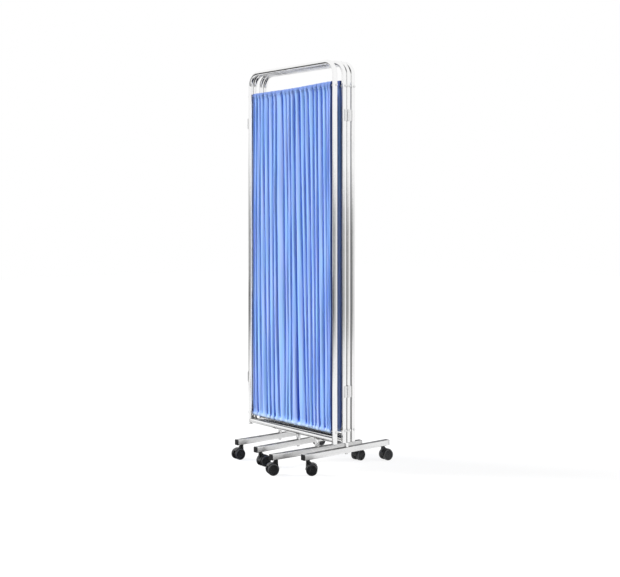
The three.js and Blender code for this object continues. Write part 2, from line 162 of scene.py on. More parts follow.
class Form:
    """One piece while it is being shaped: points, faces, each face's finish, and where each
    point lies in its unbent stock, which the finishes use for grain."""

    def __init__(self):
        self.points, self.stock, self.faces, self.finishes = [], [], [], []

    def grid(self, rows, stock=None, wrap=True, caps=False, finish=0):
        """Quads between rows of points, each row closed into a ring if wrap is set."""
        rows = np.asarray(rows, float)
        stock = rows if stock is None else np.asarray(stock, float)
        start, count = len(self.points), rows.shape[1]
        self.points.extend(map(tuple, rows.reshape(-1, 3)))
        self.stock.extend(map(tuple, stock.reshape(-1, 3)))
        for row in range(rows.shape[0] - 1):
            below = start + row * count
            above = below + count
            for column in range(count if wrap else count - 1):
                after = (column + 1) % count
                self.faces.append((below + column, below + after, above + after, above + column))
                self.finishes.append(finish)
        if caps:
            last = start + (rows.shape[0] - 1) * count
            self.faces.append(tuple(range(start + count - 1, start - 1, -1)))
            self.faces.append(tuple(range(last, last + count)))
            self.finishes.extend([finish, finish])
        return self

    def lathe(self, profile, sides, place=Matrix.Identity(4), finish=0):
        """Turned form about the place's Z from radius and height pairs, capped at both ends."""
        stock = [[(a, b, height) for a, b in circle(radius, sides)] for radius, height in profile]
        rows = [[place @ Vector(point) for point in ring] for ring in stock]
        return self.grid(rows, stock, caps=True, finish=finish)

    def sweep(self, path, section):
        """Section of two-way offsets carried along a path of (centre, right, up) frames."""
        rows, stock, travelled, before = [], [], 0.0, path[0][0]
        for centre, right, up in path:
            travelled += (centre - before).length
            before = centre
            rows.append([centre + right * a + up * b for a, b in section])
            stock.append([(a, b, travelled) for a, b in section])
        return self.grid(rows, stock, caps=True)

    def piece(self, name, materials, place=Matrix.Identity(4), closed=True, sharp=32):
        """Makes the object, with its points moved to their place in the shared frame."""
        mesh = bpy.data.meshes.new(name)
        mesh.from_pydata([place @ Vector(p) for p in self.points], [], self.faces)
        for material in materials:
            mesh.materials.append(material)
        mesh.polygons.foreach_set("material_index", self.finishes)
        mesh.polygons.foreach_set("use_smooth", [True] * len(self.faces))
        layer = mesh.attributes.new("stock", "FLOAT_VECTOR", "POINT")
        layer.data.foreach_set("vector", np.array(self.stock, np.float32).ravel())
        if closed:
            work = bmesh.new()
            work.from_mesh(mesh)
            bmesh.ops.recalc_face_normals(work, faces=work.faces)
            work.to_mesh(mesh)
            work.free()
        mesh.set_sharp_from_angle(angle=math.radians(sharp))
        thing = bpy.data.objects.new(name, mesh)
        bpy.context.scene.collection.objects.link(thing)
        return thing


def angles_round(count):
    return [FULL_TURN * step / count for step in range(count)]


def circle(radius, sides):
    return [(radius * math.cos(angle), radius * math.sin(angle)) for angle in angles_round(sides)]


def rounded_square(size, corner, steps=6):
    """Outline of a square with rounded corners, anticlockwise."""
    inner = size / 2 - corner
    outline = []
    for quarter, (side_x, side_y) in enumerate([(1, 1), (-1, 1), (-1, -1), (1, -1)]):
        for step in range(steps + 1):
            angle = QUARTER_TURN * (quarter + step / steps)
            outline.append((side_x * inner + corner * math.cos(angle),
                            side_y * inner + corner * math.sin(angle)))
    return outline


def softened(radius, low, high, soft):
    """Profile of a short cylinder with its two edges broken."""
    return [(radius - soft, low), (radius, low + soft), (radius, high - soft), (radius - soft, high)]


def straight_path(start, end, right, up, steps=1):
    return [(start.lerp(end, s / steps), right, up) for s in range(steps + 1)]


def bead(form, points, radius, sides=8, finish=0):
    """Closed round bead along a loop of points, rippled as a weld is."""
    count = len(points)
    rows, stock, travelled = [], [], 0.0
    for index in range(count + 1):
        here, before, after = points[index % count], points[index - 1], points[(index + 1) % count]
        along = (after - before).normalized()
        right = along.cross(Vector((0.31, 0.83, 0.46))).normalized()
        up = along.cross(right)
        travelled += (here - before).length
        swell = radius * (1 + 0.14 * math.sin(FULL_TURN * index / 3))
        rows.append([here + right * a + up * b for a, b in circle(swell, sides)])
        stock.append([(a, b, travelled) for a, b in circle(swell, sides)])
    return form.grid(rows, stock, finish=finish)


# Places, taken from the frame

def level_place(origin, along):
    """Upright local frame at a point, with its X along a level direction."""
    x = Vector((along[0], along[1], 0)).normalized()
    y = Vector((-x.y, x.x, 0))
    place = Matrix((x, y, UP)).transposed().to_4x4()
    place.translation = Vector(origin)
    return place


def ends_of(node, axis):
    """Middle points of a long node's two ends along one axis."""
    points = np.array([v.co for v in frame["nodes"][node].data.vertices])
    low, high = points[:, axis].min(), points[:, axis].max()
    third = (high - low) / 3
    first, last = points[:, axis] < low + third, points[:, axis] > high - third
    return points[first].mean(0), points[last].mean(0)


def leaf_place(leaf):
    """Local frame of a leaf about its middle at floor height, with its X to the right upright."""
    left, right = ends_of(f"upper_rod_{leaf}", 0)
    middle = (left + right) / 2
    return level_place((middle[0], middle[1], 0), right - left)


def foot_place(leaf):
    """Local frame of a foot about its bolt, with its Y along the bar."""
    front, back = ends_of(f"foot_bar_{leaf}", 1)
    middle, along = (front + back) / 2, back - front
    return level_place((middle[0], middle[1], 0), (along[1], -along[0]))


joint_of = {joint["name"]: joint for joint in frame["joints"]}


def castor_place(leaf, end):
    """Local frame of a castor about its stem at floor height, trailing along its X."""
    stem = Vector(joint_of[f"swivel_{leaf}_{end}"]["pos_m"])
    axle = Vector(joint_of[f"roll_{leaf}_{end}"]["pos_m"])
    return level_place((stem.x, stem.y, 0), axle - stem)


# Shader tools

def grey(value):
    return (value, value, value, 1)


class Nodes:
    """Short way to add nodes to a material or group and join them."""

    def __init__(self, tree):
        self.tree = tree

    def add(self, kind, inputs=None, **settings):
        node = self.tree.nodes.new(kind)
        for key, value in settings.items():
            setattr(node, key, value)
        for key, value in (inputs or {}).items():
            self.feed(node.inputs[key], value)
        return node

    def feed(self, socket, value):
        if isinstance(value, bpy.types.NodeSocket):
            self.tree.links.new(value, socket)
        else:
            socket.default_value = value

    def math(self, operation, *values):
        node = self.add("ShaderNodeMath", operation=operation)
        for socket, value in zip(node.inputs, values):
            self.feed(socket, value)
        return node.outputs[0]

    def times(self, *values):
        """Product of two or more values."""
        product = values[0]
        for value in values[1:]:
            product = self.math("MULTIPLY", product, value)
        return product

    def plus(self, first, second):
        return self.math("ADD", first, second)

    def minus(self, first, second):
        return self.math("SUBTRACT", first, second)

    def larger(self, first, second):
        return self.math("MAXIMUM", first, second)

    def parts(self, vector):
        """The x, y and z sockets of a vector."""
        return self.add("ShaderNodeSeparateXYZ", {0: vector}).outputs

    def coordinates(self, label):
        return self.add("ShaderNodeTexCoord").outputs[label]

    def scaled(self, vector, factors):
        return self.add("ShaderNodeVectorMath", {0: vector, 1: factors}, operation="MULTIPLY").outputs[0]

    def noise(self, vector, scale, detail=3.0, roughness=0.55):
        return self.add("ShaderNodeTexNoise", {
            "Vector": vector, "Scale": scale, "Detail": detail, "Roughness": roughness}).outputs["Fac"]

    def ramp(self, value, low, high, to_low=0.0, to_high=1.0):
        """The value carried from the range low to high to another range, and held there."""
        return self.add("ShaderNodeMapRange", {
            "Value": value, "From Min": low, "From Max": high,
            "To Min": to_low, "To Max": to_high}).outputs[0]

    def span(self, value, start, full, still_full, end):
        """Mask that rises from start to full, and falls again from still_full to end."""
        return self.times(self.ramp(value, start, full), self.ramp(value, end, still_full))

    def blend(self, factor, first, second):
        node = self.add("ShaderNodeMix", data_type="RGBA")
        self.feed(node.inputs["Factor"], factor)
        self.feed(node.inputs[6], first)
        self.feed(node.inputs[7], second)
        return node.outputs[2]


def shader_group(name, inputs, outputs, build):
    """Node group with named sockets. build gets the tools and input sockets and returns the outputs."""
    group = bpy.data.node_groups.new(name, "ShaderNodeTree")
    for label, (kind, value) in inputs.items():
        socket = group.interface.new_socket(label, in_out="INPUT", socket_type=f"NodeSocket{kind}")
        if value is not None:
            socket.default_value = value
    for label in outputs:
        group.interface.new_socket(label, in_out="OUTPUT", socket_type=f"NodeSocket{NUMBER}")
    tools = Nodes(group)
    entry = group.nodes.new("NodeGroupInput")
    leaving = group.nodes.new("NodeGroupOutput")
    for label, value in build(tools, entry.outputs).items():
        group.links.new(value, leaving.inputs[label])
    return group


def build_drawn_grain(tools, given):
    """Long fine streaks along the stock, as drawing and polishing leave on tube."""
    streaks = tools.noise(tools.scaled(given["Stock"], (1.0, 1.0, 0.02)), given["Scale"], 4.0, 0.6)
    bands = tools.noise(tools.scaled(given["Stock"], (1.0, 1.0, 0.05)), 90.0, 2.0)
    return {"Streaks": tools.plus(tools.times(streaks, 0.7), tools.times(bands, 0.3))}


def build_handling(tools, given):
    """Soft smudges and fine specks, as hands and cleaning leave."""
    cloudy = tools.ramp(tools.noise(given["Stock"], 14.0, 5.0, 0.65), 0.42, 0.72)
    specks = tools.ramp(tools.noise(given["Stock"], 420.0, 2.0), 0.66, 0.78)
    return {"Smudge": cloudy, "Specks": specks}


def build_worn_edge(tools, given):
    """Mask of outer edges, broken up so that wear isn't even."""
    edge = tools.add("ShaderNodeNewGeometry").outputs["Pointiness"]
    sharp = tools.ramp(edge, 0.52, 0.62)
    broken = tools.ramp(tools.noise(given["Stock"], 160.0, 4.0), 0.35, 0.65)
    return {"Wear": tools.times(sharp, broken)}


def build_weave(tools, given):
    """Plain weave over the flat cloth: threads up and across, one over the other."""
    place = tools.parts(given["Cloth"])
    turn = tools.math("DIVIDE", FULL_TURN / 2, given["Thread"])
    across = tools.math("SINE", tools.times(place[0], turn))
    upward = tools.math("SINE", tools.times(place[1], turn))
    slub = tools.noise(tools.scaled(given["Cloth"], (1.0, 0.012, 1.0)), 900.0, 2.0)
    cross_slub = tools.noise(tools.scaled(given["Cloth"], (0.03, 1.0, 1.0)), 700.0, 2.0)
    slubs = tools.plus(tools.times(slub, 0.6), tools.times(cross_slub, 0.4))
    return {"Height": tools.plus(tools.times(across, upward, 0.35), slubs), "Slub": slub}


def build_seam(tools, given):
    """One row of stitches across the cloth at a stated height, and a mask round it where the pucker's shade
    is painted.
    """
    place = tools.parts(given["Cloth"])
    off = tools.math("ABSOLUTE", tools.minus(place[1], given["Row"]))
    near = tools.ramp(off, 0.4 * MM, 0.9 * MM, 1.0, 0.0)
    pitch = tools.math("FRACT", tools.math("DIVIDE", place[0], given["Pitch"]))
    dash = tools.math("LESS_THAN", tools.math("ABSOLUTE", tools.minus(pitch, 0.5)), 0.36)
    pucker = tools.ramp(off, 0.0, 4 * MM, 1.0, 0.0)
    return {"Thread": tools.times(near, dash), "Pucker": pucker}


def facing_up(tools):
    """How far the surface faces up, from -1 to 1."""
    return tools.parts(tools.add("ShaderNodeNewGeometry").outputs["Normal"])[2]


def build_moulding(tools, given):
    """Fine spark texture of moulded plastic, and pale dust that settles on upper faces."""
    spark = tools.noise(given["Stock"], given["Scale"], 3.0, 0.7)
    patchy = tools.ramp(tools.noise(given["Stock"], 60.0, 4.0), 0.38, 0.7)
    return {"Spark": spark, "Dust": tools.times(tools.ramp(facing_up(tools), 0.2, 1.0), patchy)}


VECTOR, NUMBER = ("Vector", None), "Float"
drawn_grain = shader_group("drawn_grain", {"Stock": VECTOR, "Scale": (NUMBER, 900.0)}, ["Streaks"],
                           build_drawn_grain)
handling = shader_group("handling", {"Stock": VECTOR}, ["Smudge", "Specks"], build_handling)
worn_edge = shader_group("worn_edge", {"Stock": VECTOR}, ["Wear"], build_worn_edge)
weave = shader_group("weave", {"Cloth": VECTOR, "Thread": (NUMBER, 0.6 * MM)}, ["Height", "Slub"],
                     build_weave)
seam = shader_group("seam", {"Cloth": VECTOR, "Row": (NUMBER, 0.0), "Pitch": (NUMBER, 3 * MM)},
                    ["Thread", "Pucker"], build_seam)
moulding = shader_group("moulding", {"Stock": VECTOR, "Scale": (NUMBER, 1400.0)}, ["Spark", "Dust"],
                        build_moulding)


def start_material(name, **plain):
    """Material with its Principled shader's plain sockets set, its node tools and the shader."""
    material = bpy.data.materials.new(name)
    material.use_nodes = True
    shader = material.node_tree.nodes["Principled BSDF"]
    for label, value in plain.items():
        shader.inputs[label.replace("_", " ")].default_value = value
    return material, Nodes(material.node_tree), shader


def stock_of(tools, name="stock"):
    return tools.add("ShaderNodeAttribute", attribute_name=name).outputs["Vector"]


def mask_of(tools, name):
    return tools.add("ShaderNodeAttribute", attribute_name=name).outputs["Fac"]


def use(tools, group, **inputs):
    node = tools.add("ShaderNodeGroup", node_tree=group)
    for label, value in inputs.items():
        tools.feed(node.inputs[label], value)
    return node.outputs


def bump(tools, shader, height, distance, strength):
    node = tools.add("ShaderNodeBump", {"Height": height, "Distance": distance, "Strength": strength})
    tools.feed(shader.inputs["Normal"], node.outputs[0])


# Relief of each finish
GRAIN_RELIEF = 0.02 * MM
WELD_RELIEF = 0.2 * MM
SPARK_RELIEF = 0.08 * MM
WEAVE_RELIEF = 0.12 * MM

# Painted dark reflection: a neighbouring tube is darkened in mirror rays where it is near, and no longer
# where it is far
NEXT_TUBE_NEAR = 14 * MM
NEXT_TUBE_FAR = 34 * MM

# Outside the bends this shows in the lower half, and weakens upwards between these heights
LOWER_HALF_FULL = 1000 * MM
LOWER_HALF_START = 1400 * MM

# Mirrored cloth turns from its near tone to its far tone between these distances
CLOTH_NEAR = 35 * MM
CLOTH_FAR = 65 * MM

# Heights over the hem's stitched row between which the cloth turns dark in mirrors
HEM_DARK = 35 * MM
HEM_DARK_START = 60 * MM


def steel_material(name, bright, dull, roughness, grain_scale, painted_top_shade=None, close=None):
    """Polished or satin steel: drawn grain in its gloss, smudges from hands, faint specks, and, given a
    colour for level upper faces, a painted dark reflection there, mottled, where the steel is also
    rougher and less metallic. Given a colour for close tubes, a painted dark reflection where tubes
    that nearly touch mirror each other, fully in the bends and partly in the lower half."""
    material, tools, shader = start_material(name, Metallic=1.0, Anisotropic=0.25)
    stock = stock_of(tools)
    grain = use(tools, drawn_grain, Stock=stock, Scale=grain_scale)["Streaks"]
    marks = use(tools, handling, Stock=stock)
    wear = use(tools, worn_edge, Stock=stock)["Wear"]
    tone = tools.blend(tools.ramp(grain, 0.3, 0.7), bright, dull)
    tone = tools.blend(tools.times(marks["Specks"], 0.35), tone, dull)
    base = tools.ramp(grain, 0.25, 0.75, *roughness)
    # Painted dark reflection on level upper faces, mottled, with a rougher and less metallic finish there
    if painted_top_shade:
        level = tools.ramp(facing_up(tools), 0.55, 0.92)
        top_shade_mask = tools.times(level, tools.ramp(tools.noise(stock, 35.0, 4.0), 0.3, 0.6, 0.7, 1.0))
        mottle = tools.ramp(tools.noise(stock, 150.0, 5.0, 0.75), 0.50, 0.62, 0.0, 0.9)
        tone = tools.blend(top_shade_mask, tools.blend(mottle, tone, dull), painted_top_shade)
        base = tools.plus(base, tools.times(top_shade_mask, 0.15))
        tools.feed(shader.inputs["Metallic"], tools.ramp(top_shade_mask, 0.0, 1.0, 1.0, 0.2))
    # Painted dark reflection: a tube seen in a mirror ray from close by turns dark
    if close:
        rays = tools.add("ShaderNodeLightPath").outputs
        height = tools.parts(tools.coordinates("Object"))[2]
        touching = tools.ramp(rays["Ray Length"], NEXT_TUBE_FAR, NEXT_TUBE_NEAR)
        lower = tools.ramp(height, LOWER_HALF_START, LOWER_HALF_FULL, 0.10, 0.6)
        in_bends = tools.ramp(height, LEAF_HEIGHT - BEND_RADIUS, LEAF_HEIGHT - 0.7 * BEND_RADIUS)
        beside = tools.times(rays["Is Glossy Ray"], touching)
        tone = tools.blend(tools.times(beside, tools.larger(lower, in_bends)), tone, close)
    tools.feed(shader.inputs["Base Color"], tone)
    smudged = tools.plus(base, tools.times(marks["Smudge"], 0.07))
    tools.feed(shader.inputs["Roughness"], tools.plus(smudged, tools.times(wear, 0.05)))
    bump(tools, shader, grain, GRAIN_RELIEF, 0.6)
    return material


def weld_material():
    """Weld metal, mottled between grey and a browned tone."""
    material, tools, shader = start_material("weld_metal", Metallic=1.0)
    scale = tools.noise(stock_of(tools), 500.0, 4.0, 0.7)
    tone = tools.blend(tools.ramp(scale, 0.35, 0.65), (0.58, 0.57, 0.55, 1), (0.36, 0.33, 0.30, 1))
    tools.feed(shader.inputs["Base Color"], tone)
    tools.feed(shader.inputs["Roughness"], tools.ramp(scale, 0.3, 0.7, 0.28, 0.5))
    bump(tools, shader, scale, WELD_RELIEF, 0.7)
    return material


def plastic_material(name, colour, worn, roughness):
    """Moulded plastic with a fine spark texture, paler worn edges and a little dust."""
    material, tools, shader = start_material(name, Specular_IOR_Level=0.45)
    stock = stock_of(tools)
    skin = use(tools, moulding, Stock=stock)
    wear = use(tools, worn_edge, Stock=stock)["Wear"]
    edged = tools.blend(tools.times(wear, 0.55), colour, worn)
    dusty = tools.blend(tools.times(skin["Dust"], 0.10), edged, (0.30, 0.29, 0.28, 1))
    tools.feed(shader.inputs["Base Color"], dusty)
    tools.feed(shader.inputs["Roughness"], tools.ramp(skin["Spark"], 0.3, 0.7, *roughness))
    bump(tools, shader, skin["Spark"], SPARK_RELIEF, 0.5)
    return material


# Deep, pale, header and navy are painted shade and light: deep in the grooves and puckers, pale along the
# hem (pale is also the stitch thread's own colour), header over the top casing, navy at the sides
CLOTH_COLOURS = {
    "violet": (0.41, 0.53, 0.98, 1), "clear": (0.32, 0.57, 0.98, 1), "shade": (0.25, 0.43, 0.98, 1),
    "deep": (0.055, 0.14, 0.66, 1), "pale": (0.60, 0.76, 0.98, 1),
    "header": (0.17, 0.255, 0.58, 1), "navy": (0.05, 0.075, 0.24, 1)}
# Painted reflection: the cloth's colours as polished tube mirrors it, near, far and dark
MIRRORED_COLOURS = {
    "near": (0.75, 0.80, 0.90, 1), "far": (0.70, 0.71, 0.74, 1), "dark": (0.02, 0.02, 0.025, 1)}


def cloth_in_mirrors(tools, body, height, backward):
    """Painted reflection: the cloth in mirror rays, paler than it is, and nearly black where the
    dark_in_mirrors mask says and, on its back, under the hem."""
    rays = tools.add("ShaderNodeLightPath").outputs
    low = tools.ramp(height, HEM_ROW + HEM_DARK_START, HEM_ROW + HEM_DARK)
    distant = tools.ramp(rays["Ray Length"], CLOTH_NEAR, CLOTH_FAR)
    hidden = mask_of(tools, "dark_in_mirrors")
    dark = tools.larger(tools.times(low, tools.larger(hidden, backward)), tools.times(hidden, distant))
    mirrored = tools.blend(distant, MIRRORED_COLOURS["near"], MIRRORED_COLOURS["far"])
    mirrored = tools.blend(dark, mirrored, MIRRORED_COLOURS["dark"])
    return tools.blend(tools.times(rays["Is Glossy Ray"], 0.92), body, mirrored)


def cloth_material(name):
    """Light woven cloth: weave and slubs, soft changes of hue and tone along the folds, painted shade in
    the grooves and along the pucker at each stitched row, painted shade over the header, painted light
    along the hem, a pale stitched row at each casing, painted navy shade where the shaded mask says that
    it stays in the shade of the uprights, and a painted reflection for mirrors."""
    material, tools, shader = start_material(
        name, Sheen_Weight=0.15, Sheen_Roughness=0.4, Specular_IOR_Level=0.2)
    cloth = stock_of(tools, "cloth")
    up_cloth = tools.parts(cloth)[1]
    threads = use(tools, weave, Cloth=cloth)
    colours = CLOTH_COLOURS
    hue = tools.noise(tools.scaled(cloth, (1.0, 0.10, 1.0)), 24.0, 3.0)
    streaky = tools.noise(tools.scaled(cloth, (1.0, 0.03, 1.0)), 120.0, 3.0)
    body = tools.blend(tools.ramp(hue, 0.38, 0.62), colours["violet"], colours["clear"])
    body = tools.blend(tools.ramp(streaky, 0.40, 0.66, 0.0, 0.8), body, colours["shade"])

    # Painted shade in the grooves. A groove of the front is a ridge of the back, so each side of the cloth
    # reads it its own way round
    groove = mask_of(tools, "groove")
    backward = tools.ramp(tools.parts(tools.coordinates("Normal"))[1], -0.25, 0.25)
    turned = tools.plus(tools.times(groove, tools.minus(1.0, backward)),
                        tools.times(tools.minus(0.5, groove), backward))
    body = tools.blend(tools.ramp(turned, 0.18, 0.78), body, colours["deep"])

    # Painted light along the hem, as from the floor below, uneven along it
    hem = tools.ramp(up_cloth, HEM_ROW - 3 * MM, HEM_ROW - 12 * MM)
    uneven = tools.noise(tools.scaled(cloth, (1.0, 0.3, 1.0)), 30.0, 2.0)
    body = tools.blend(tools.times(hem, tools.ramp(uneven, 0.35, 0.62, 0.35, 1.0)), body, colours["pale"])
    height = threads["Height"]
    for row in (HEADER_ROW, HEM_ROW):
        stitched = use(tools, seam, Cloth=cloth, Row=row)
        # Painted shade along the pucker at each stitched row; the thread itself is pale
        body = tools.blend(tools.times(stitched["Pucker"], 0.15), body, colours["deep"])
        body = tools.blend(tools.times(stitched["Thread"], 0.6), body, colours["pale"])
        height = tools.plus(height, tools.times(stitched["Thread"], 1.5))
    # Painted shade over the header, blended towards a darker blue
    header = tools.ramp(up_cloth, 2 * MM, 6 * MM)
    body = tools.blend(tools.times(header, 0.85), body, colours["header"])
    # Painted navy shade at the cloth's sides and, on the second leaf, behind an upright and its bend
    body = tools.blend(mask_of(tools, "shaded"), body, colours["navy"])
    body = cloth_in_mirrors(tools, body, up_cloth, backward)
    tools.feed(shader.inputs["Base Color"], body)
    tools.feed(shader.inputs["Roughness"], tools.ramp(threads["Slub"], 0.3, 0.7, 0.72, 0.9))
    bump(tools, shader, height, WEAVE_RELIEF, 0.5)
    return material


# Leaf frames

BEND_STEPS = 18
UPRIGHT_STEPS = 12
CROSSBAR_STEPS = 6
CROSSBAR_WELD_POINTS = 48
STUB_WELD_POINTS = 42
NUT_STEPS = 6

# Places of finishes in the frame's list, where the tube comes first
WELD_FINISH, CAP_FINISH = 1, 2

# Plastic cap in an upright's lower end, from its rim to its middle: inset from the tube, and drop below it
END_CAP_PROFILE = mm((0.2, 0), (0.4, 1.0), (1.6, 1.8), (5.5, 2.2), (10.6, 2.3))


def bent_tube_path():
    """Up one side, round both bends and down the other, in the leaf's own plane."""
    bend_x, bend_z = HALF_SPACING - BEND_RADIUS, LEAF_HEIGHT - TUBE_RADIUS - BEND_RADIUS
    path = []
    for step in range(UPRIGHT_STEPS):
        height = UPRIGHT_FOOT + (bend_z - UPRIGHT_FOOT) * step / UPRIGHT_STEPS
        path.append((Vector((-HALF_SPACING, 0, height)), RIGHT, BACK))
    for step in range(BEND_STEPS + 1):
        angle = math.pi - QUARTER_TURN * step / BEND_STEPS
        outward = Vector((math.cos(angle), 0, math.sin(angle)))
        path.append((Vector((-bend_x, 0, bend_z)) + outward * BEND_RADIUS, -outward, BACK))
    mirrored = [(Vector((-centre.x, 0, centre.z)), Vector((-right.x, 0, right.z)), BACK)
                for centre, right, _ in reversed(path)]
    return path + mirrored


def tube_half_depth(across):
    """Half the tube's depth at a distance from its middle line."""
    return math.sqrt(TUBE_RADIUS ** 2 - across ** 2)


def crossbar_weld(side):
    """Loop of points where one end of the crossbar meets its upright."""
    points = []
    for angle in angles_round(CROSSBAR_WELD_POINTS):
        across = (TUBE_RADIUS - 0.8 * WELD_RADIUS) * math.cos(angle)
        reach = tube_half_depth(across) + 0.3 * WELD_RADIUS
        height = CROSSBAR_HEIGHT + TUBE_RADIUS * math.sin(angle)
        points.append(Vector((side * (HALF_SPACING - reach), across, height)))
    return points


def stub_weld(foot_x):
    """Loop of points where the stub meets the crossbar from below."""
    points = []
    for angle in angles_round(STUB_WELD_POINTS):
        across = STUB_RADIUS * math.sin(angle)
        drop = tube_half_depth(across) + 0.4 * WELD_RADIUS
        points.append(Vector((foot_x + STUB_RADIUS * math.cos(angle), across, CROSSBAR_HEIGHT - drop)))
    return points


def leaf_frame(leaf, place, foot_x, materials):
    """Bent tube, crossbar and stub with their weld beads and the uprights' end caps, as one frame."""
    form = Form()
    form.sweep(bent_tube_path(), circle(TUBE_RADIUS, TUBE_SIDES))
    bar_end = Vector((HALF_SPACING - 0.6 * TUBE_RADIUS, 0, 0))
    bar_middle = Vector((0, 0, CROSSBAR_HEIGHT))
    crossbar = straight_path(bar_middle - bar_end, bar_middle + bar_end, UP, BACK, CROSSBAR_STEPS)
    form.sweep(crossbar, circle(TUBE_RADIUS, TUBE_SIDES))
    stub_foot = Vector((foot_x, 0, BAR_UNDERSIDE + BAR_SIZE + SEAT))
    stub = straight_path(stub_foot, Vector((foot_x, 0, CROSSBAR_HEIGHT)), RIGHT, BACK)
    form.sweep(stub, circle(STUB_RADIUS, STUB_SIDES))
    end_cap = [(TUBE_RADIUS - inset, -drop) for inset, drop in END_CAP_PROFILE]
    for side in (-1, 1):
        upright_end = Matrix.Translation((side * HALF_SPACING, 0, UPRIGHT_FOOT))
        form.lathe(end_cap, END_CAP_SIDES, upright_end, finish=CAP_FINISH)
        bead(form, crossbar_weld(side), WELD_RADIUS, finish=WELD_FINISH)
    bead(form, stub_weld(foot_x), WELD_RADIUS, finish=WELD_FINISH)
    piece = form.piece(f"tube_frame_{leaf}", materials, place)
    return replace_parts(piece, f"frame_{leaf}")


def curtain_rod(leaf, level, height, place, material):
    """Rod through both uprights with a domed cap nut on each end."""
    seat_x = HALF_SPACING + TUBE_RADIUS + SEAT
    nut = [(ROD_RADIUS, seat_x), (CAP_NUT_RADIUS - CAP_NUT_EDGE, seat_x),
           (CAP_NUT_RADIUS, seat_x + CAP_NUT_EDGE)]
    for step in range(NUT_STEPS + 1):
        angle = QUARTER_TURN * step / NUT_STEPS
        radius = max(CAP_NUT_RADIUS * math.cos(angle), 0.2 * MM)
        nut.append((radius, seat_x + CAP_NUT_SIDE + (CAP_NUT_HEIGHT - CAP_NUT_SIDE) * math.sin(angle)))
    profile = [(radius, -along) for radius, along in reversed(nut)] + nut
    turn = Matrix.Translation((0, 0, height)) @ Matrix.Rotation(QUARTER_TURN, 4, "Y")
    form = Form().lathe(profile, ROD_SIDES, turn)
    piece = form.piece(f"{level}_curtain_rod_{leaf}", [material], place)
    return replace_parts(piece, f"{level}_rod_{leaf}")


# Curtains

# How far each header's right end rises, and how the casings are shaped
HEADER_LIFT = {"a": 7 * MM, "b": 14 * MM, "c": 6 * MM, "d": 6 * MM}
HEADER_SET_BACK = 3.8 * MM
HEADER_FRILL = 0.8 * MM
HEM_FRILL = 2.0 * MM
SKIRT_ROWS = 90
CASING_ROWS = 14

# How far from an edge of the cloth each mask reaches, and over what length it fades out: the painted navy
# shade along the sides, the painted shade behind an upright and its bend, and the painted dark reflection
# where tubes mirror the cloth nearly black
SIDE_SHADE = {"left": (14 * MM, 2.5 * MM), "right": (6 * MM, 2.5 * MM)}
BEHIND_UPRIGHT = (44 * MM, 18 * MM)
BEHIND_BEND = (52 * MM, 40 * MM)
DARK_FROM_LEFT = (110 * MM, 50 * MM)
DARK_FROM_TOP = (300 * MM, 50 * MM)
DARK_FROM_HEM = (75 * MM, 25 * MM)

# Folds, and how far below the header and above the hem their gathers reach
FOLD_SAMPLES = 18
FOLD_DEPTH = 7.8 * MM
GATHER_SWING = 1.9 * MM
GATHER_BELOW_HEADER = 22 * MM
GATHER_ABOVE_HEM = 26 * MM
OPEN_BELOW_HEADER = 30 * MM
OPEN_ABOVE_HEM = 40 * MM
SHALLOW_BELOW_HEADER = 18 * MM

# Grooves between the front curtain's folds, as shares of the spacing of the uprights from the left:
# at the top, half way down and at the bottom, and then how deep each is there, as shares.
FRONT_GROOVE_SHARES = [
    (0.066, 0.064, 0.068, 0.45, 0.55, 0.50),
    (0.100, 0.089, 0.104, 0.50, 0.80, 0.70),
    (0.139, 0.136, 0.160, 0.40, 0.45, 0.40),
    (0.178, 0.198, 0.228, 0.85, 0.65, 0.75),
    (0.236, 0.247, 0.268, 0.50, 0.60, 0.75),
    (0.291, 0.303, 0.316, 0.90, 0.85, 0.95),
    (0.340, 0.338, 0.376, 0.40, 0.50, 0.55),
    (0.409, 0.441, 0.450, 1.00, 0.75, 0.50),
    (0.461, 0.482, 0.484, 0.45, 0.40, 0.35),
    (0.500, 0.519, 0.520, 0.50, 0.55, 0.45),
    (0.548, 0.568, 0.594, 0.70, 0.60, 0.95),
    (0.608, 0.648, 0.696, 1.00, 1.00, 0.95),
    (0.668, 0.692, 0.728, 0.45, 0.70, 0.45),
    (0.707, 0.745, 0.764, 0.60, 0.75, 0.90),
    (0.772, 0.790, 0.802, 0.95, 0.65, 0.50),
    (0.812, 0.826, 0.843, 1.00, 0.90, 0.60),
    (0.863, 0.887, 0.899, 0.85, 0.80, 0.95),
    (0.911, 0.926, 0.938, 0.50, 0.60, 0.50),
    (0.940, 0.948, 0.956, 0.40, 0.50, 0.40),
]
GROOVE_PITCH_SHARE = 0.047


def random_groove_shares(rng):
    """Grooves for a curtain that mostly hides behind the front one, spaced and slanted alike."""
    rows, share = [], 0.07
    while share < 0.95:
        lean, sway = rng.normal(0, 0.010), rng.normal(0, 0.006)
        depths = np.clip(rng.uniform(0.45, 1.05) + rng.normal(0, 0.15, 3), 0.4, 1.0)
        rows.append((share, share + lean / 2 + sway, share + lean, *depths))
        share += GROOVE_PITCH_SHARE * rng.uniform(0.72, 1.38)
    return rows


def smooth_between(values, place):
    """Smooth curve through three values at the top, the middle and the bottom."""
    top, middle, bottom = values
    curve = 2 * (top + bottom - 2 * middle)
    return top + (bottom - top) * place + curve * (place ** 2 - place)


def fading(distance, reach):
    """Effect that fades away from 1 over a distance."""
    return np.exp(-distance / reach)


def wavy(rng, along, waves, strength):
    """Gentle unevenness along a run, from a few sine waves."""
    total = np.zeros_like(along)
    for count in waves:
        total += np.sin(FULL_TURN * (along * count * rng.uniform(0.8, 1.2) + rng.uniform())) / len(waves)
    return strength * total


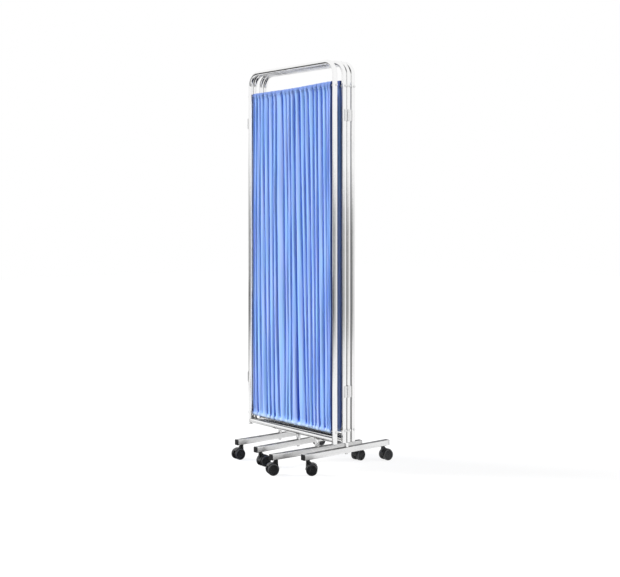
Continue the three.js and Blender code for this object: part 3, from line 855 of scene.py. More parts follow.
def gather_wave(rng, run):
    """Fine uneven gathers along a curtain, between -1 and 1, with two to three to a fold."""
    bent = run + 0.22 * np.sin(run * 1.9 + rng.uniform(0, 6))
    bent = bent + 0.12 * np.sin(run * 4.3 + rng.uniform(0, 6))
    wave = np.sin(FULL_TURN * 2.2 * bent) + 0.55 * np.sin(FULL_TURN * 3.7 * bent + 1.0)
    strength = 0.7 + 0.3 * np.sin(run * 2.7 + rng.uniform(0, 6))
    return strength * wave / 1.55


def fold_surface(grooves, rng):
    """Side place and depth of every skirt point, how deep in a groove it lies, its place across the cut
    cloth, the height of each row, and how the gathers run."""
    down = np.linspace(0, 1, SKIRT_ROWS)
    level = np.ones_like(down)
    lines = [(smooth_between(groove[:3], down) - 0.5) * UPRIGHT_SPACING for groove in grooves]
    lines = [LEFT_EDGE * level] + lines + [RIGHT_EDGE * level]
    depths = [0.7 * level] + [smooth_between(groove[3:], down) for groove in grooves] + [0.9 * level]
    depths = np.clip(np.array(depths), 0.3, 1.0)
    drop = HEADER_STITCH - HEM_STITCH
    from_top, from_bottom = drop * down, drop * (1 - down)
    opened = 1 - 0.45 * fading(from_top, OPEN_BELOW_HEADER) - 0.45 * fading(from_bottom, OPEN_ABOVE_HEM)
    xs, ys, insides = [], [], []
    for fold in range(len(lines) - 1):
        width = lines[fold + 1] - lines[fold]
        lobe_crest, lobe_wall = rng.uniform(0.82, 1.06), rng.uniform(0.36, 0.47)
        crest = rng.uniform(0.80, 1.0) + wavy(rng, down, (1.3, 2.9), 0.07)
        tilt = rng.uniform(-0.9, 0.9) + wavy(rng, down, (0.8, 1.7), 0.5)
        dent, dent_at = wavy(rng, down, (0.7, 1.9), 0.9 * MM), rng.uniform(1.2, 2.6)
        last = fold == len(lines) - 2
        for sample in range(FOLD_SAMPLES + (1 if last else 0)):
            phase = -math.pi + FULL_TURN * sample / FOLD_SAMPLES
            depth = depths[fold] if phase < 0 else depths[fold + 1]
            lobe = (lobe_crest * math.sin(phase) + lobe_wall * math.sin(2 * phase)) / FULL_TURN
            share = (phase + math.pi) / FULL_TURN + lobe * (0.45 + 0.55 * depth) * opened
            inside = (1 - math.cos(phase)) / 2
            y = FOLD_DEPTH * (2 * depth * opened * inside - crest * (0.3 + 0.7 * opened))
            y = y + (1 - inside) * opened * (dent * math.cos(dent_at * phase) + tilt * MM * math.sin(phase))
            xs.append(lines[fold] + width * share)
            ys.append(y)
            insides.append(inside * depth)
    xs, ys, insides = np.array(xs).T, np.array(ys).T, np.array(insides).T
    run = np.arange(xs.shape[1]) / FOLD_SAMPLES
    gather = gather_wave(rng, run)
    lengths = 1 + 0.6 * np.sin(run * 5.1 + rng.uniform(0, 6))
    pinched = fading(from_top[:, None], GATHER_BELOW_HEADER * lengths)
    pinched = pinched + fading(from_bottom[:, None], GATHER_ABOVE_HEM * lengths)
    ys = ys + GATHER_SWING * pinched * gather
    ys = ys - HEADER_SET_BACK * fading(from_top[:, None], SHALLOW_BELOW_HEADER)
    for count, strength in ((1.8, 0.75 * MM), (3.1, 0.42 * MM)):
        slant = rng.uniform(-3, 3)
        wave = run[None, :] * count + slant * down[:, None] + rng.uniform()
        ys = ys + strength * opened[:, None] * np.sin(FULL_TURN * wave)
    steps = np.hypot(np.diff(xs, axis=1), np.diff(ys, axis=1))[SKIRT_ROWS // 2]
    flat_across = np.concatenate([[0], np.cumsum(steps)])
    return xs, ys, insides, flat_across, np.linspace(HEADER_STITCH, HEM_STITCH, SKIRT_ROWS), gather


def casing_rows(joined_x, joined_y, ridge, reach, stitch_height, gather, frill, lift, rng):
    """Rows that wrap the cloth round a rod, from the skirt's stitched row outwards and back behind.
    Each fold carries on over the rod, and the outer edge is ruffled and rises by lift along the leaf."""
    rows = []
    run = np.arange(len(joined_x)) / FOLD_SAMPLES
    upward = 1 if reach > stitch_height else -1
    rising = np.clip((run / run[-1] - 0.45) / 0.5, 0, 1)
    rising = lift * rising ** 2 * (3 - 2 * rising)
    edge = wavy(rng, run / 4, (3.1, 5.7, 9.3), frill) + 0.8 * frill * gather + 0.3 * frill * (ridge - 0.5)
    puff = 1 + 0.22 * gather + wavy(rng, run / 3, (2.3, 6.1), 0.08) + 0.10 * ridge
    shift = wavy(rng, run / 4, (2.1, 4.7), 0.9 * MM)
    for step in range(1, CASING_ROWS + 1):
        turn = FULL_TURN * step / (CASING_ROWS + 1)
        rise = (1 - math.cos(turn)) / 2
        width = CASING_HALF_WIDTH * math.sin(turn) * min(1, 0.55 + rise)
        height = stitch_height + (reach - stitch_height) * rise + upward * (edge + rising) * rise ** 2
        y = joined_y * (1 - rise) ** 2 - width * puff + (1.1 * gather + 1.2 * (0.5 - ridge)) * MM * rise
        rows.append((joined_x + shift * rise, y, height))
    return rows


def edge_mask(distance, reach_and_fade):
    reach, fade = reach_and_fade
    return (reach - distance) / fade


def curtain_masks(leaf, grid, groove):
    """Masks that the cloth's material reads at each point of the grid, where 1 and more is full: the groove
    shade, the painted navy shade, and where mirrors show the cloth painted dark.
    """
    from_left, from_right = grid[:, :, 0] - LEFT_EDGE, RIGHT_EDGE - grid[:, :, 0]
    from_top, from_bottom = grid[:, :, 2].max() - grid[:, :, 2], grid[:, :, 2] - grid[:, :, 2].min()
    shaded = edge_mask(from_left, SIDE_SHADE["left"])
    dark = np.minimum(edge_mask(from_left, DARK_FROM_LEFT), edge_mask(from_top, DARK_FROM_TOP))
    if leaf == "a":
        shaded = np.maximum(shaded, edge_mask(from_right, SIDE_SHADE["right"]))
    else:
        dark = np.maximum(dark, edge_mask(from_bottom, DARK_FROM_HEM))
    if leaf == "b":
        behind = np.minimum(edge_mask(from_right, BEHIND_UPRIGHT), edge_mask(from_top, BEHIND_BEND))
        shaded = np.maximum(shaded, 0.85 * np.clip(behind, 0, 1))
    return {"groove": groove, "shaded": shaded, "dark_in_mirrors": dark}


def curtain(leaf, place, grooves, seed, material):
    """One sheet from the back of the header, over the upper rod, down and round the lower rod."""
    rng = np.random.default_rng(seed)
    xs, ys, insides, flat_across, heights, gather = fold_surface(grooves, rng)
    ridges = 1 - insides / insides.max()
    header = casing_rows(xs[0], ys[0], ridges[0], HEADER_TOP, HEADER_STITCH, gather, HEADER_FRILL,
                         HEADER_LIFT[leaf], rng)
    hem = casing_rows(xs[-1], ys[-1], ridges[-1], HEM_BOTTOM, HEM_STITCH, gather, HEM_FRILL, 0.0, rng)
    skirt = list(zip(xs, ys, heights))
    rows = header[::-1] + skirt + hem
    grid = np.array([np.stack([x, y, np.broadcast_to(z, x.shape)], axis=1) for x, y, z in rows])
    middle = grid.shape[1] // 2
    drops = np.linalg.norm(np.diff(grid[:, ::middle].mean(axis=1), axis=0), axis=1)
    length = np.concatenate([[0], np.cumsum(drops)])
    cloth = np.zeros_like(grid)
    cloth[:, :, 0] = flat_across[None, :]
    cloth[:, :, 1] = (length[CASING_ROWS] - length)[:, None]
    # Painted groove shade over the casings: over the header it follows the folds and gathers, over the hem
    # it fades outwards, and just below the header it is weaker
    over_header = np.tile(0.12 + 0.45 * insides[0] + 0.10 * gather, (CASING_ROWS, 1))
    over_hem = np.linspace(0.75, 0.25, CASING_ROWS)[:, None] * insides[-1]
    shallow_top = 1 - 0.6 * fading(HEADER_STITCH - heights, SHALLOW_BELOW_HEADER)[:, None]
    groove = np.concatenate([over_header, insides * shallow_top, over_hem])
    form = Form().grid(grid, cloth, wrap=False)
    piece = form.piece(f"curtain_cloth_{leaf}", [material], place, closed=False, sharp=180)
    piece.data.attributes["stock"].name = "cloth"
    for label, values in curtain_masks(leaf, grid, groove).items():
        layer = piece.data.attributes.new(label, "FLOAT", "POINT")
        layer.data.foreach_set("value", np.clip(values, 0, 1).astype(np.float32).ravel())
    thicken = piece.modifiers.new("cloth_thickness", "SOLIDIFY")
    thicken.thickness, thicken.offset = CLOTH_THICKNESS, 0
    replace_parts(piece, f"curtain_{leaf}")
    return piece


# Hinges

# Radius and rise of the pin's heads and of the rivets, from the rim to the middle
PIN_HEAD_PROFILE = mm((2.2, -0.2), (2.2, 0.3), (1.4, 0.7), (0.3, 0.8))
RIVET_PROFILE = mm((2.1, -0.1), (2.0, 0.35), (1.2, 0.75), (0.2, 0.85))
RIVET_HEIGHT_SHARES = (-0.62, 0, 0.62)
BARREL_EDGE = 0.35 * MM
PLATE_CORNER_SHARE = 0.06
PLATE_CORNER_STEPS = 4


def hinge_half(name, leaf_at, side, facing, height, pinned, materials):
    """Riveted plate on the outer side of one upright with its share of the barrel, and the pin and its
    heads if pinned. Its frame has the pin's axis as Z and the plate towards -Y."""
    reach_out = HALF_SPACING + TUBE_RADIUS + SEAT + HINGE_BARREL
    pin = Matrix.Translation((side * reach_out, facing * LEAF_PITCH / 2, height))
    pin = pin @ Matrix.Diagonal((side, facing, 1, 1))
    form = Form()
    inner, outer = -HINGE_BARREL, -HINGE_BARREL + HINGE_PLATE
    clear = HINGE_BARREL + SEAT
    plate_middle = -clear - HINGE_REACH / 2
    outline = [(plate_middle + HINGE_REACH * a, 2 * HINGE_HALF_HEIGHT * b)
               for a, b in rounded_square(1.0, PLATE_CORNER_SHARE, PLATE_CORNER_STEPS)]
    form.grid([[pin @ Vector((x, a, b)) for a, b in outline] for x in (inner, outer)], caps=True)
    spans = [(-HINGE_MIDDLE_HALF, HINGE_MIDDLE_HALF)]
    if pinned:
        gap = HINGE_MIDDLE_HALF + SEAT
        spans = [(-HINGE_HALF_HEIGHT, -gap), (gap, HINGE_HALF_HEIGHT)]
    tab = [(inner, -clear - SEAT), (outer, -clear - SEAT), (outer, 0), (inner, 0)]
    for low, high in spans:
        form.lathe(softened(HINGE_BARREL, low, high, BARREL_EDGE), ROD_SIDES, pin)
        tab_ends = (low + BARREL_EDGE, high - BARREL_EDGE)
        form.grid([[pin @ Vector((a, b, z)) for a, b in tab] for z in tab_ends], caps=True)
    if pinned:
        shank = [(HINGE_PIN_RADIUS, -HINGE_HALF_HEIGHT), (HINGE_PIN_RADIUS, HINGE_HALF_HEIGHT)]
        form.lathe(shank, RIVET_SIDES, pin)
        for way in (-1, 1):
            head = Matrix.Translation((0, 0, way * HINGE_HALF_HEIGHT)) @ Matrix.Diagonal((1, 1, way, 1))
            form.lathe(PIN_HEAD_PROFILE, RIVET_SIDES, pin @ head)
    for share in RIVET_HEIGHT_SHARES:
        spot = Matrix.Translation((outer, plate_middle, share * HINGE_HALF_HEIGHT))
        form.lathe(RIVET_PROFILE, RIVET_SIDES, pin @ spot @ Matrix.Rotation(QUARTER_TURN, 4, "Y"))
    piece = form.piece(f"{name}_half", materials, leaf_at)
    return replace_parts(piece, name)


# Feet

# Inset and proudness of the rings of a plug's rounded edge, and of those of its domed face
PLUG_EDGE_RINGS = mm((0, -1.2), (0.35, -0.5), (1.1, -0.1), (2.6, 0))
PLUG_FACE_RINGS = mm((7.0, 0.25), (11.0, 0.3))
PLUG_SET_BACK = 0.3 * MM
BOLT_EDGE = 0.25 * MM
BOLT_HEAD_EDGE = 1 * MM
BOLT_FACE_RINGS = [(0.62, -0.15 * MM), (0.8, 0.05 * MM)]
BAR_STEPS = 8


def foot_bar(leaf, place, material):
    """Hollow square tube along the place's Y."""
    half = FOOT_LENGTH / 2 - PLUG_FLANGE - SEAT
    form = Form()
    outer = rounded_square(BAR_SIZE, BAR_CORNER)
    inner = rounded_square(BAR_SIZE - 2 * BAR_WALL, BAR_CORNER - BAR_WALL)
    stations = [-half + (2 * half) * s / BAR_STEPS for s in range(BAR_STEPS + 1)]
    rows = [[(a, y, BAR_MIDDLE + b) for a, b in outer] for y in stations]
    rows += [[(a, y, BAR_MIDDLE + b) for a, b in inner] for y in reversed(stations)]
    rows.append(rows[0])
    stock = [[(p[0], p[2] - BAR_MIDDLE, p[1]) for p in row] for row in rows]
    form.grid(rows, stock)
    piece = form.piece(f"square_foot_{leaf}", [material], place)
    merge_seams(piece)
    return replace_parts(piece, f"foot_bar_{leaf}")


def merge_seams(piece):
    """Welds rows that were drawn twice to close a ring."""
    work = bmesh.new()
    work.from_mesh(piece.data)
    bmesh.ops.remove_doubles(work, verts=work.verts, dist=0.001 * MM)
    bmesh.ops.recalc_face_normals(work, faces=work.faces)
    work.to_mesh(piece.data)
    work.free()


def foot_bolt(leaf, place, material):
    """Hexagon bolt with a washer, up through the bar into the stub."""
    washer_top = BAR_UNDERSIDE - SEAT
    washer_bottom = washer_top - WASHER_THICKNESS
    head_bottom = washer_bottom - BOLT_HEAD_HEIGHT
    corner = BOLT_HEAD_ACROSS_FLATS / 2 / math.cos(math.pi / 6)
    form = Form()
    form.lathe(softened(WASHER_RADIUS, washer_bottom, washer_top, BOLT_EDGE), TUBE_SIDES)
    bolt_top = BAR_UNDERSIDE + BAR_SIZE + BOLT_REACH
    form.lathe([(BOLT_RADIUS, washer_top - BOLT_EDGE), (BOLT_RADIUS, bolt_top)], SHANK_SIDES)
    head = [(corner * 0.9, head_bottom), (corner, head_bottom + BOLT_HEAD_EDGE), (corner, washer_bottom)]
    form.lathe(head, 6)
    form.lathe([(corner * share, head_bottom + rise) for share, rise in BOLT_FACE_RINGS], ROD_SIDES)
    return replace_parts(form.piece(f"hex_bolt_{leaf}", [material], place), f"foot_bolt_{leaf}")


def end_plug(leaf, end, side, place, material):
    """Black plug with a softly domed face and a spigot inside the bar."""
    face = FOOT_LENGTH / 2
    form = Form()
    rings = [(0.0, -PLUG_FLANGE, BAR_CORNER)]
    rings += [(inset, proud, BAR_CORNER - inset * 0.15) for inset, proud in PLUG_EDGE_RINGS]
    rings += [(inset, proud, (BAR_SIZE / 2 - inset) * 0.9) for inset, proud in PLUG_FACE_RINGS]
    rows = []
    for inset, proud, corner in rings:
        y = side * (face + proud - PLUG_SET_BACK)
        rows.append([(a, y, BAR_MIDDLE + b) for a, b in rounded_square(BAR_SIZE - 2 * inset, corner)])
    form.grid(rows, caps=True)
    spigot = rounded_square(BAR_SIZE - 2 * BAR_WALL - 2 * SEAT, SPIGOT_CORNER)
    reaches = [face - PLUG_FLANGE, face - PLUG_FLANGE - SPIGOT_LENGTH]
    form.grid([[(a, side * y, BAR_MIDDLE + b) for a, b in spigot] for y in reaches], caps=True)
    piece = form.piece(f"bar_plug_{leaf}_{end}", [material], place)
    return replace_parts(piece, f"end_plug_{leaf}_{end}")


# Castors

HOOD_STEPS = 26

# The web's round hub, where it touches the hood in front, and where it meets the neck and the hood's
# back end, all about the axle
WEB_HUB_START = math.radians(-135)
WEB_HUB_TURN = math.radians(175)
WEB_HUB_STEPS = 12
WEB_FRONT_DEGREES = (45, 60, 75, 90)
WEB_SHOULDER = 4 * MM
WEB_NECK_HEIGHT = 7 * MM
WEB_TAIL_INSET = 1 * MM
WEB_TAIL_TOP = 2 * MM
WEB_TAIL_BOTTOM = -4 * MM

# Inset from the neck's side and drop below its top: a groove under a collar, and the collar's edge
NECK_RINGS = mm((0, 3.2), (1.1, 2.8), (1.1, 2.2), (0.2, 1.8), (0.2, 0.4), (0.7, 0))

# Radius and width shares from the inner side of a wheel, over its tread and rim ring, to its hub cap,
# and the points between which the rim ring lies
WHEEL_PROFILE_SHARES = [
    (0.12, 0.0), (0.78, 0.0), (0.90, 0.02), (0.965, 0.07), (0.99, 0.14), (1.0, 0.24), (1.0, 0.84),
    (0.992, 0.92), (0.975, 0.965), (0.95, 0.99), (0.92, 1.0), (0.895, 0.99), (0.88, 0.94), (0.86, 0.935),
    (0.84, 0.98), (0.60, 0.96), (0.40, 0.93), (0.37, 0.90), (0.24, 0.90), (0.22, 0.95), (0.17, 0.985),
    (0.05, 1.0)]
RIM_START, RIM_END = 7, 11

# Places of finishes in the housing's list, where the plastic comes first, and in the wheels' list
STEM_FINISH = 1
TREAD_FINISH, FACE_FINISH, AXLE_FINISH, RIM_HIGHLIGHT_FINISH = range(4)


def web_outline(neck_top):
    """Outline of the web between the wheels, about the axle: round the hub, up along the hood's inside
    and over to the neck."""
    outline = []
    for step in range(WEB_HUB_STEPS + 1):
        angle = WEB_HUB_START + WEB_HUB_TURN * step / WEB_HUB_STEPS
        outline.append((WEB_HUB_RADIUS * math.cos(angle), WEB_HUB_RADIUS * math.sin(angle)))
    for degrees in WEB_FRONT_DEGREES:
        angle = math.radians(degrees)
        outline.append((HOOD_INNER * math.cos(angle), HOOD_INNER * math.sin(angle)))
    shoulder = neck_top - WEB_SHOULDER
    neck_front, neck_back = -CASTOR_TRAIL + 0.9 * NECK_RADIUS, -CASTOR_TRAIL - 0.9 * NECK_RADIUS
    outline += [(neck_front, shoulder), (neck_back, shoulder), (neck_back, shoulder - WEB_NECK_HEIGHT)]
    outline += [(-HOOD_OUTER + WEB_TAIL_INSET, WEB_TAIL_TOP), (-0.9 * HOOD_INNER, WEB_TAIL_BOTTOM)]
    return outline


def castor_housing(leaf, end, place, materials):
    """Hood over both wheels, the web between them, the neck with its collar, and the steel stem."""
    axle = Matrix.Translation((CASTOR_TRAIL, 0, WHEEL_RADIUS))
    stem = Matrix.Translation((0, 0, WHEEL_RADIUS))
    neck_top = BAR_UNDERSIDE - SEAT - WHEEL_RADIUS
    neck_low = HOOD_OUTER - NECK_BELOW_HOOD
    form = Form()
    path = []
    for step in range(HOOD_STEPS + 1):
        angle = HOOD_START + (HOOD_END - HOOD_START) * step / HOOD_STEPS
        outward = Vector((math.cos(angle), 0, math.sin(angle)))
        path.append((axle @ (outward * (HOOD_INNER + HOOD_THICKNESS / 2)), outward, BACK))
    straight = HOOD_HALF_WIDTH - HOOD_THICKNESS / 2
    form.sweep(path, [(a, b + (straight if b > 0 else -straight))
                      for a, b in rounded_square(HOOD_THICKNESS, HOOD_THICKNESS / 2)])
    web = web_outline(neck_top)
    sides = (-WEB_HALF_THICKNESS, WEB_HALF_THICKNESS)
    form.grid([[axle @ Vector((a, y, b)) for a, b in web] for y in sides], caps=True)
    neck = [(0.86 * NECK_RADIUS, neck_low), (NECK_RADIUS, neck_low + NECK_FLARE)]
    neck += [(NECK_RADIUS - inset, neck_top - drop) for inset, drop in NECK_RINGS]
    form.lathe(neck, STUB_SIDES, stem)
    tip = neck_top + STEM_LENGTH
    pin = [(STEM_RADIUS, neck_top - STEM_EDGE), (STEM_RADIUS, tip - STEM_EDGE)]
    form.lathe(pin + [(STEM_RADIUS - STEM_EDGE, tip)], SHANK_SIDES, stem, finish=STEM_FINISH)
    piece = form.piece(f"castor_hood_{leaf}_{end}", materials, place)
    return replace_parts(piece, f"castor_fork_{leaf}_{end}")


def castor_wheels(leaf, end, place, materials):
    """Two wheels with a rounded tread, a rim, a dished face and a hub cap, on one axle."""
    axle = place @ Matrix.Translation((CASTOR_TRAIL, 0, WHEEL_RADIUS))
    turned = [(radius * WHEEL_RADIUS, width * WHEEL_WIDTH) for radius, width in WHEEL_PROFILE_SHARES]
    form = Form()
    for side in (-1, 1):
        out = Matrix.Rotation(-side * QUARTER_TURN, 4, "X") @ Matrix.Translation((0, 0, WHEEL_GAP / 2))
        form.lathe(turned[:RIM_START + 1], WHEEL_SIDES, out, finish=TREAD_FINISH)
        form.lathe(turned[RIM_START:RIM_END + 1], WHEEL_SIDES, out, finish=RIM_HIGHLIGHT_FINISH)
        form.lathe(turned[RIM_END:], WHEEL_SIDES, out, finish=FACE_FINISH)
    half = WHEEL_GAP / 2 + AXLE_OVERLAP
    across = Matrix.Rotation(QUARTER_TURN, 4, "X")
    shaft = [(AXLE_RADIUS, -half), (AXLE_RADIUS, half)]
    form.lathe(shaft, SHANK_SIDES, across, finish=AXLE_FINISH)
    piece = form.piece(f"twin_wheels_{leaf}_{end}", materials, axle)
    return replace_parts(piece, f"castor_wheels_{leaf}_{end}")


# Camera, at the photograph's viewing angle

CAMERA_TURN = math.radians(48.92)
EYE_LEFT_OF_UPRIGHT = 108.1 * MM
EYE_BEFORE_UPRIGHT = 4886.1 * MM
EYE_HEIGHT = 1118.7 * MM
FOCAL_PIXELS = 1124.3
WIDTH_PIXELS = 620
MIDDLE_ROW_PIXELS = 288.5
HORIZON_ROW_PIXELS = 214.9
SENSOR_MILLIMETRES = 36
FARTHEST_SEEN = 60


def make_camera():
    """Level camera in front of the screen and to its right, placed from the front leaf's right upright."""
    right = Vector((math.cos(CAMERA_TURN), math.sin(CAMERA_TURN), 0))
    forward = Vector((-math.sin(CAMERA_TURN), math.cos(CAMERA_TURN), 0))
    front_upright = leaf_place("a") @ Vector((HALF_SPACING, 0, 0))
    eye = front_upright - right * EYE_LEFT_OF_UPRIGHT - forward * EYE_BEFORE_UPRIGHT
    eye.z = EYE_HEIGHT
    data = bpy.data.cameras.new("camera")
    data.sensor_width = SENSOR_MILLIMETRES
    data.lens = FOCAL_PIXELS / WIDTH_PIXELS * SENSOR_MILLIMETRES
    data.shift_y = (HORIZON_ROW_PIXELS - MIDDLE_ROW_PIXELS) / WIDTH_PIXELS
    data.clip_end = FARTHEST_SEEN
    camera = bpy.data.objects.new("camera", data)
    camera.location = eye
    camera.rotation_euler = (QUARTER_TURN, 0, CAMERA_TURN)
    bpy.context.scene.collection.objects.link(camera)
    bpy.context.scene.camera = camera


# Light and surroundings

KEY_HEADING = (0.75, 0.55, -0.55)
KEY_SHARE = 1.45
BACK_HEADING = (-0.62, -0.70, -0.40)
BACK_SHARE = 0.5
LAMP_SOFTNESS = math.radians(22)
FILL_SHARE = 0.28

# The camera sees the floor in its shown tone with a glow, which together are white outside shadows, and
# everything else is lit by it in its true tone
FLOOR_TONE = 0.35
FLOOR_SHOWN = 0.22
FLOOR_GLOW = 1.02 - 0.72 * FLOOR_SHOWN
FLOOR_HALF_SIZE = 14.0

# In mirrors the floor is dark in a patch before the screen: where it starts, is full, is still full and
# ends, to the front and to the right. The foot bars mirror it from the distances at which it is left out.
DARK_FLOOR_Y = (0.0, -0.14, -1.2, -2.0)
DARK_FLOOR_X = (-0.7, -0.3, 1.2, 1.6)
FOOT_BAR_DISTANCES = (0.36, 0.44, 1.7, 1.9)

# What polished tube mirrors: the way to the dark end of the horizon, and the heading of the grey side
DARK_END = (-0.75, -0.66, 0.0)
GREY_HEADING = math.radians(62)


def make_lamp(name, heading, share):
    """Far soft lamp that shines along its heading. Polished steel mirrors the surroundings instead."""
    data = bpy.data.lights.new(name, "SUN")
    data.energy = share * math.pi
    data.angle = LAMP_SOFTNESS
    lamp = bpy.data.objects.new(name, data)
    lamp.rotation_euler = Vector(heading).to_track_quat("-Z", "Y").to_euler()
    lamp.visible_glossy = False
    bpy.context.scene.collection.objects.link(lamp)


def far_stripes(tools, x, y):
    """Upright stripes of grey far from the screen, darkest in front of it."""
    around = tools.math("ARCTAN2", y, x)
    stripes = tools.noise(tools.add("ShaderNodeCombineXYZ", {0: around}).outputs[0], 1.8, 2.0)
    in_front = tools.math("ABSOLUTE", tools.plus(around, GREY_HEADING))
    side = tools.ramp(in_front, 0.6, 1.4, 0.60, 0.10)
    return tools.plus(side, tools.ramp(stripes, 0.35, 0.65, -0.10, 0.16))


def make_world():
    """White surroundings for the camera, and a plain fill light for everything else. Polished tube
    mirrors them white with a dark horizon to the left of the camera and grey stripes below it."""
    world = bpy.data.worlds.new("studio")
    bpy.context.scene.world = world
    world.use_nodes = True
    tree = world.node_tree
    tree.nodes.clear()
    tools = Nodes(tree)
    rays = tools.add("ShaderNodeLightPath").outputs
    camera = rays["Is Camera Ray"]
    mirrored = tools.larger(rays["Is Glossy Ray"], rays["Is Transmission Ray"])
    direction = tools.coordinates("Generated")
    x, y, z = tools.parts(direction)
    toward = tools.add("ShaderNodeVectorMath", {0: direction, 1: DARK_END}, operation="DOT_PRODUCT")
    dark_side = tools.ramp(toward.outputs["Value"], 0.93, 0.98)
    level = tools.ramp(tools.math("ABSOLUTE", z), 0.03, 0.08, 1.0, 0.0)
    stripes = tools.times(tools.ramp(z, 0.03, 0.0), far_stripes(tools, x, y))
    dark = tools.times(dark_side, level, 0.97)
    shown = tools.minus(1.0, tools.larger(dark, stripes))
    fill = tools.times(FILL_SHARE, tools.minus(1.0, tools.larger(camera, mirrored)))
    strength = tools.plus(camera, tools.plus(tools.times(mirrored, shown), fill))
    background = tools.add("ShaderNodeBackground", {"Color": grey(1), "Strength": strength})
    output = tools.add("ShaderNodeOutputWorld")
    tree.links.new(background.outputs[0], output.inputs[0])


def floor_in_mirrors(tools, length):
    """How white the floor looks in polished tube: dark before the screen, except from the distances at
    which the foot bars mirror it, dark to the far left, and striped far away like the surroundings."""
    x, y, _ = tools.parts(tools.coordinates("Object"))
    patch = tools.times(tools.span(y, *DARK_FLOOR_Y), tools.span(x, *DARK_FLOOR_X), 0.95)
    from_feet = tools.span(length, *FOOT_BAR_DISTANCES)
    patch = tools.times(patch, tools.minus(1.0, from_feet))
    away = tools.times(tools.ramp(x, -1.4, -2.4), tools.ramp(y, -0.6, -1.4), 0.97)
    far = tools.times(tools.ramp(length, 3.5, 6.5), far_stripes(tools, x, y))
    return tools.minus(1.0, tools.larger(tools.larger(patch, away), far))


def make_floor():
    """Plain pale floor that keeps the screen's shadow and shows white around it."""
    half = FLOOR_HALF_SIZE
    mesh = bpy.data.meshes.new("floor")
    corners = [(-half, -half, 0), (half, -half, 0), (half, half, 0), (-half, half, 0)]
    mesh.from_pydata(corners, [], [(0, 1, 2, 3)])
    floor = bpy.data.objects.new("floor", mesh)
    bpy.context.scene.collection.objects.link(floor)
    material = bpy.data.materials.new("pale_floor")
    material.use_nodes = True
    tree = material.node_tree
    tree.nodes.clear()
    tools = Nodes(tree)
    rays = tools.add("ShaderNodeLightPath").outputs
    mirrored = tools.larger(rays["Is Glossy Ray"], rays["Is Transmission Ray"])
    plain = tools.add("ShaderNodeBsdfDiffuse", {"Color": grey(FLOOR_TONE)})
    shadowed = tools.add("ShaderNodeBsdfDiffuse", {"Color": grey(FLOOR_SHOWN)})
    glow = tools.add("ShaderNodeEmission", {"Color": grey(1), "Strength": FLOOR_GLOW})
    seen = tools.add("ShaderNodeAddShader", {0: shadowed.outputs[0], 1: glow.outputs[0]})
    white = floor_in_mirrors(tools, rays["Ray Length"])
    mirror_glow = tools.add("ShaderNodeEmission", {"Color": grey(1), "Strength": white})
    lit = tools.add("ShaderNodeMixShader", {
        0: rays["Is Camera Ray"], 1: plain.outputs[0], 2: seen.outputs[0]})
    surface = tools.add("ShaderNodeMixShader", {
        0: mirrored, 1: lit.outputs[0], 2: mirror_glow.outputs[0]})
    output = tools.add("ShaderNodeOutputMaterial")
    tree.links.new(surface.outputs[0], output.inputs[0])
    mesh.materials.append(material)


# The screen

# Each hinge half: its pair, the leaf that carries it, its kind, and the side and facing of its upright
HINGE_HALVES = [
    ("ab", "b", "pinned", -1, -1), ("ab", "a", "plain", -1, 1),
    ("bc", "b", "pinned", 1, 1), ("bc", "c", "plain", 1, -1),
    ("cd", "c", "pinned", -1, 1), ("cd", "d", "plain", -1, -1)]


# Bright and dull tone, least and most roughness, and grain scale of each steel
STEELS = {
    "polished_tube": (grey(0.97), grey(0.88), (0.05, 0.14), 900.0),
    "satin_foot_steel": (grey(0.97), grey(0.78), (0.34, 0.46), 520.0),
    "bright_steel": (grey(0.90), grey(0.76), (0.18, 0.32), 700.0)}
# Painted dark reflections: the tone of a tube seen close by in another, and the tone of the foot bars'
# level upper faces
NEXT_TUBE_MIRROR_SHADE = grey(0.10)
FOOT_TOP_SHADE = grey(0.08)

# Tone, worn tone, and least and most roughness of each plastic
PLASTICS = {
    "tube_end_plastic": ((0.30, 0.30, 0.31, 1), grey(0.45), (0.4, 0.6)),
    "plug_plastic": ((0.011, 0.011, 0.012, 1), grey(0.08), (0.45, 0.62)),
    "castor_plastic": ((0.020, 0.020, 0.022, 1), grey(0.09), (0.30, 0.48)),
    "tread_plastic": ((0.016, 0.016, 0.018, 1), grey(0.07), (0.45, 0.62)),
    "wheel_face_plastic": ((0.030, 0.031, 0.034, 1), (0.12, 0.12, 0.13, 1), (0.32, 0.50)),
    # The rim ring's paler grey is a painted highlight on the black wheel
    "rim_highlight_plastic": ((0.15, 0.15, 0.155, 1), grey(0.22), (0.22, 0.36))}


def make_finishes():
    """All materials by name."""
    extras = {"polished_tube": {"close": NEXT_TUBE_MIRROR_SHADE}, "satin_foot_steel": {"painted_top_shade": FOOT_TOP_SHADE}}
    finish = {"weld_metal": weld_material(), "curtain_cloth": cloth_material("curtain_cloth")}
    for name, values in STEELS.items():
        finish[name] = steel_material(name, *values, **extras.get(name, {}))
    for name, values in PLASTICS.items():
        finish[name] = plastic_material(name, *values)
    return finish


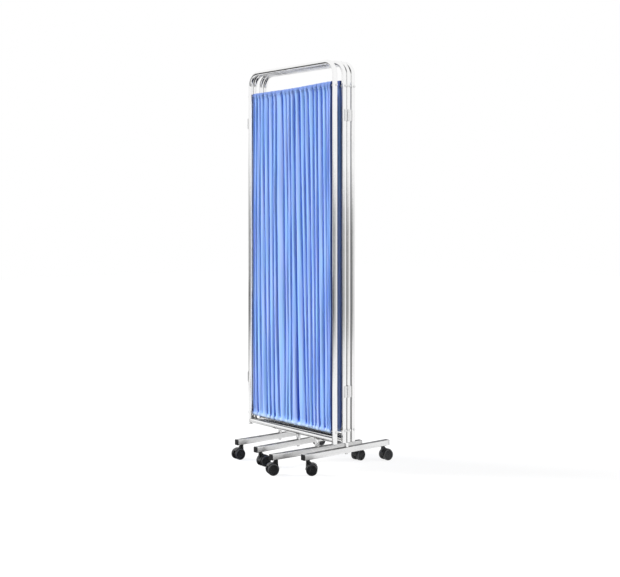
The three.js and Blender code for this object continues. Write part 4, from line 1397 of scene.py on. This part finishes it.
def make_leaf(index, leaf, finish):
    """One leaf with all that rides on it: frame, foot, rods, bolt, curtain, plugs and castors."""
    leaf_at, foot_at = leaf_place(leaf), foot_place(leaf)
    foot_x = (leaf_at.inverted() @ foot_at.translation).x
    bright, plug = finish["bright_steel"], finish["plug_plastic"]
    frame_finishes = [finish["polished_tube"], finish["weld_metal"], finish["tube_end_plastic"]]
    wheel_finishes = [
        finish["tread_plastic"], finish["wheel_face_plastic"], bright, finish["rim_highlight_plastic"]]
    grooves = FRONT_GROOVE_SHARES
    if leaf != "a":
        grooves = random_groove_shares(np.random.default_rng(40 + index))
    pieces = [
        (leaf_frame(leaf, leaf_at, foot_x, frame_finishes), "polished_tube"),
        (foot_bar(leaf, foot_at, finish["satin_foot_steel"]), "polished_tube"),
        (curtain_rod(leaf, "upper", UPPER_ROD_HEIGHT, leaf_at, bright), "bright_steel"),
        (curtain_rod(leaf, "lower", LOWER_ROD_HEIGHT, leaf_at, bright), "bright_steel"),
        (foot_bolt(leaf, foot_at, bright), "bright_steel"),
        (curtain(leaf, leaf_at, grooves, 7 + index, finish["curtain_cloth"]), "curtain_cloth"),
        (end_plug(leaf, "front", -1, foot_at, plug), "black_plastic"),
        (end_plug(leaf, "back", 1, foot_at, plug), "black_plastic")]
    for piece, slot in pieces:
        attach(piece, f"leaf_{leaf}")
    for end in ("front", "back"):
        castor_at = castor_place(leaf, end)
        housing = castor_housing(leaf, end, castor_at, [finish["castor_plastic"], bright])
        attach(housing, f"castor_{leaf}_{end}")
        wheels = castor_wheels(leaf, end, castor_at, wheel_finishes)
        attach(wheels, f"wheels_{leaf}_{end}")


def make_screen():
    """All four leaves, and the hinges between them."""
    finish = make_finishes()
    for index, leaf in enumerate(LEAVES):
        make_leaf(index, leaf, finish)
    for pair, leaf, kind, side, facing in HINGE_HALVES:
        for level, height in HINGE_HEIGHTS.items():
            half = hinge_half(f"hinge_{pair}_{level}_{kind}", leaf_place(leaf), side, facing, height,
                              kind == "pinned", [finish["bright_steel"]])
            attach(half, f"leaf_{leaf}")


make_camera()
make_world()
make_lamp("key_light", KEY_HEADING, KEY_SHARE)
make_lamp("back_light", BACK_HEADING, BACK_SHARE)
make_floor()
make_screen()
bpy.context.scene.view_settings.view_transform = "Standard"
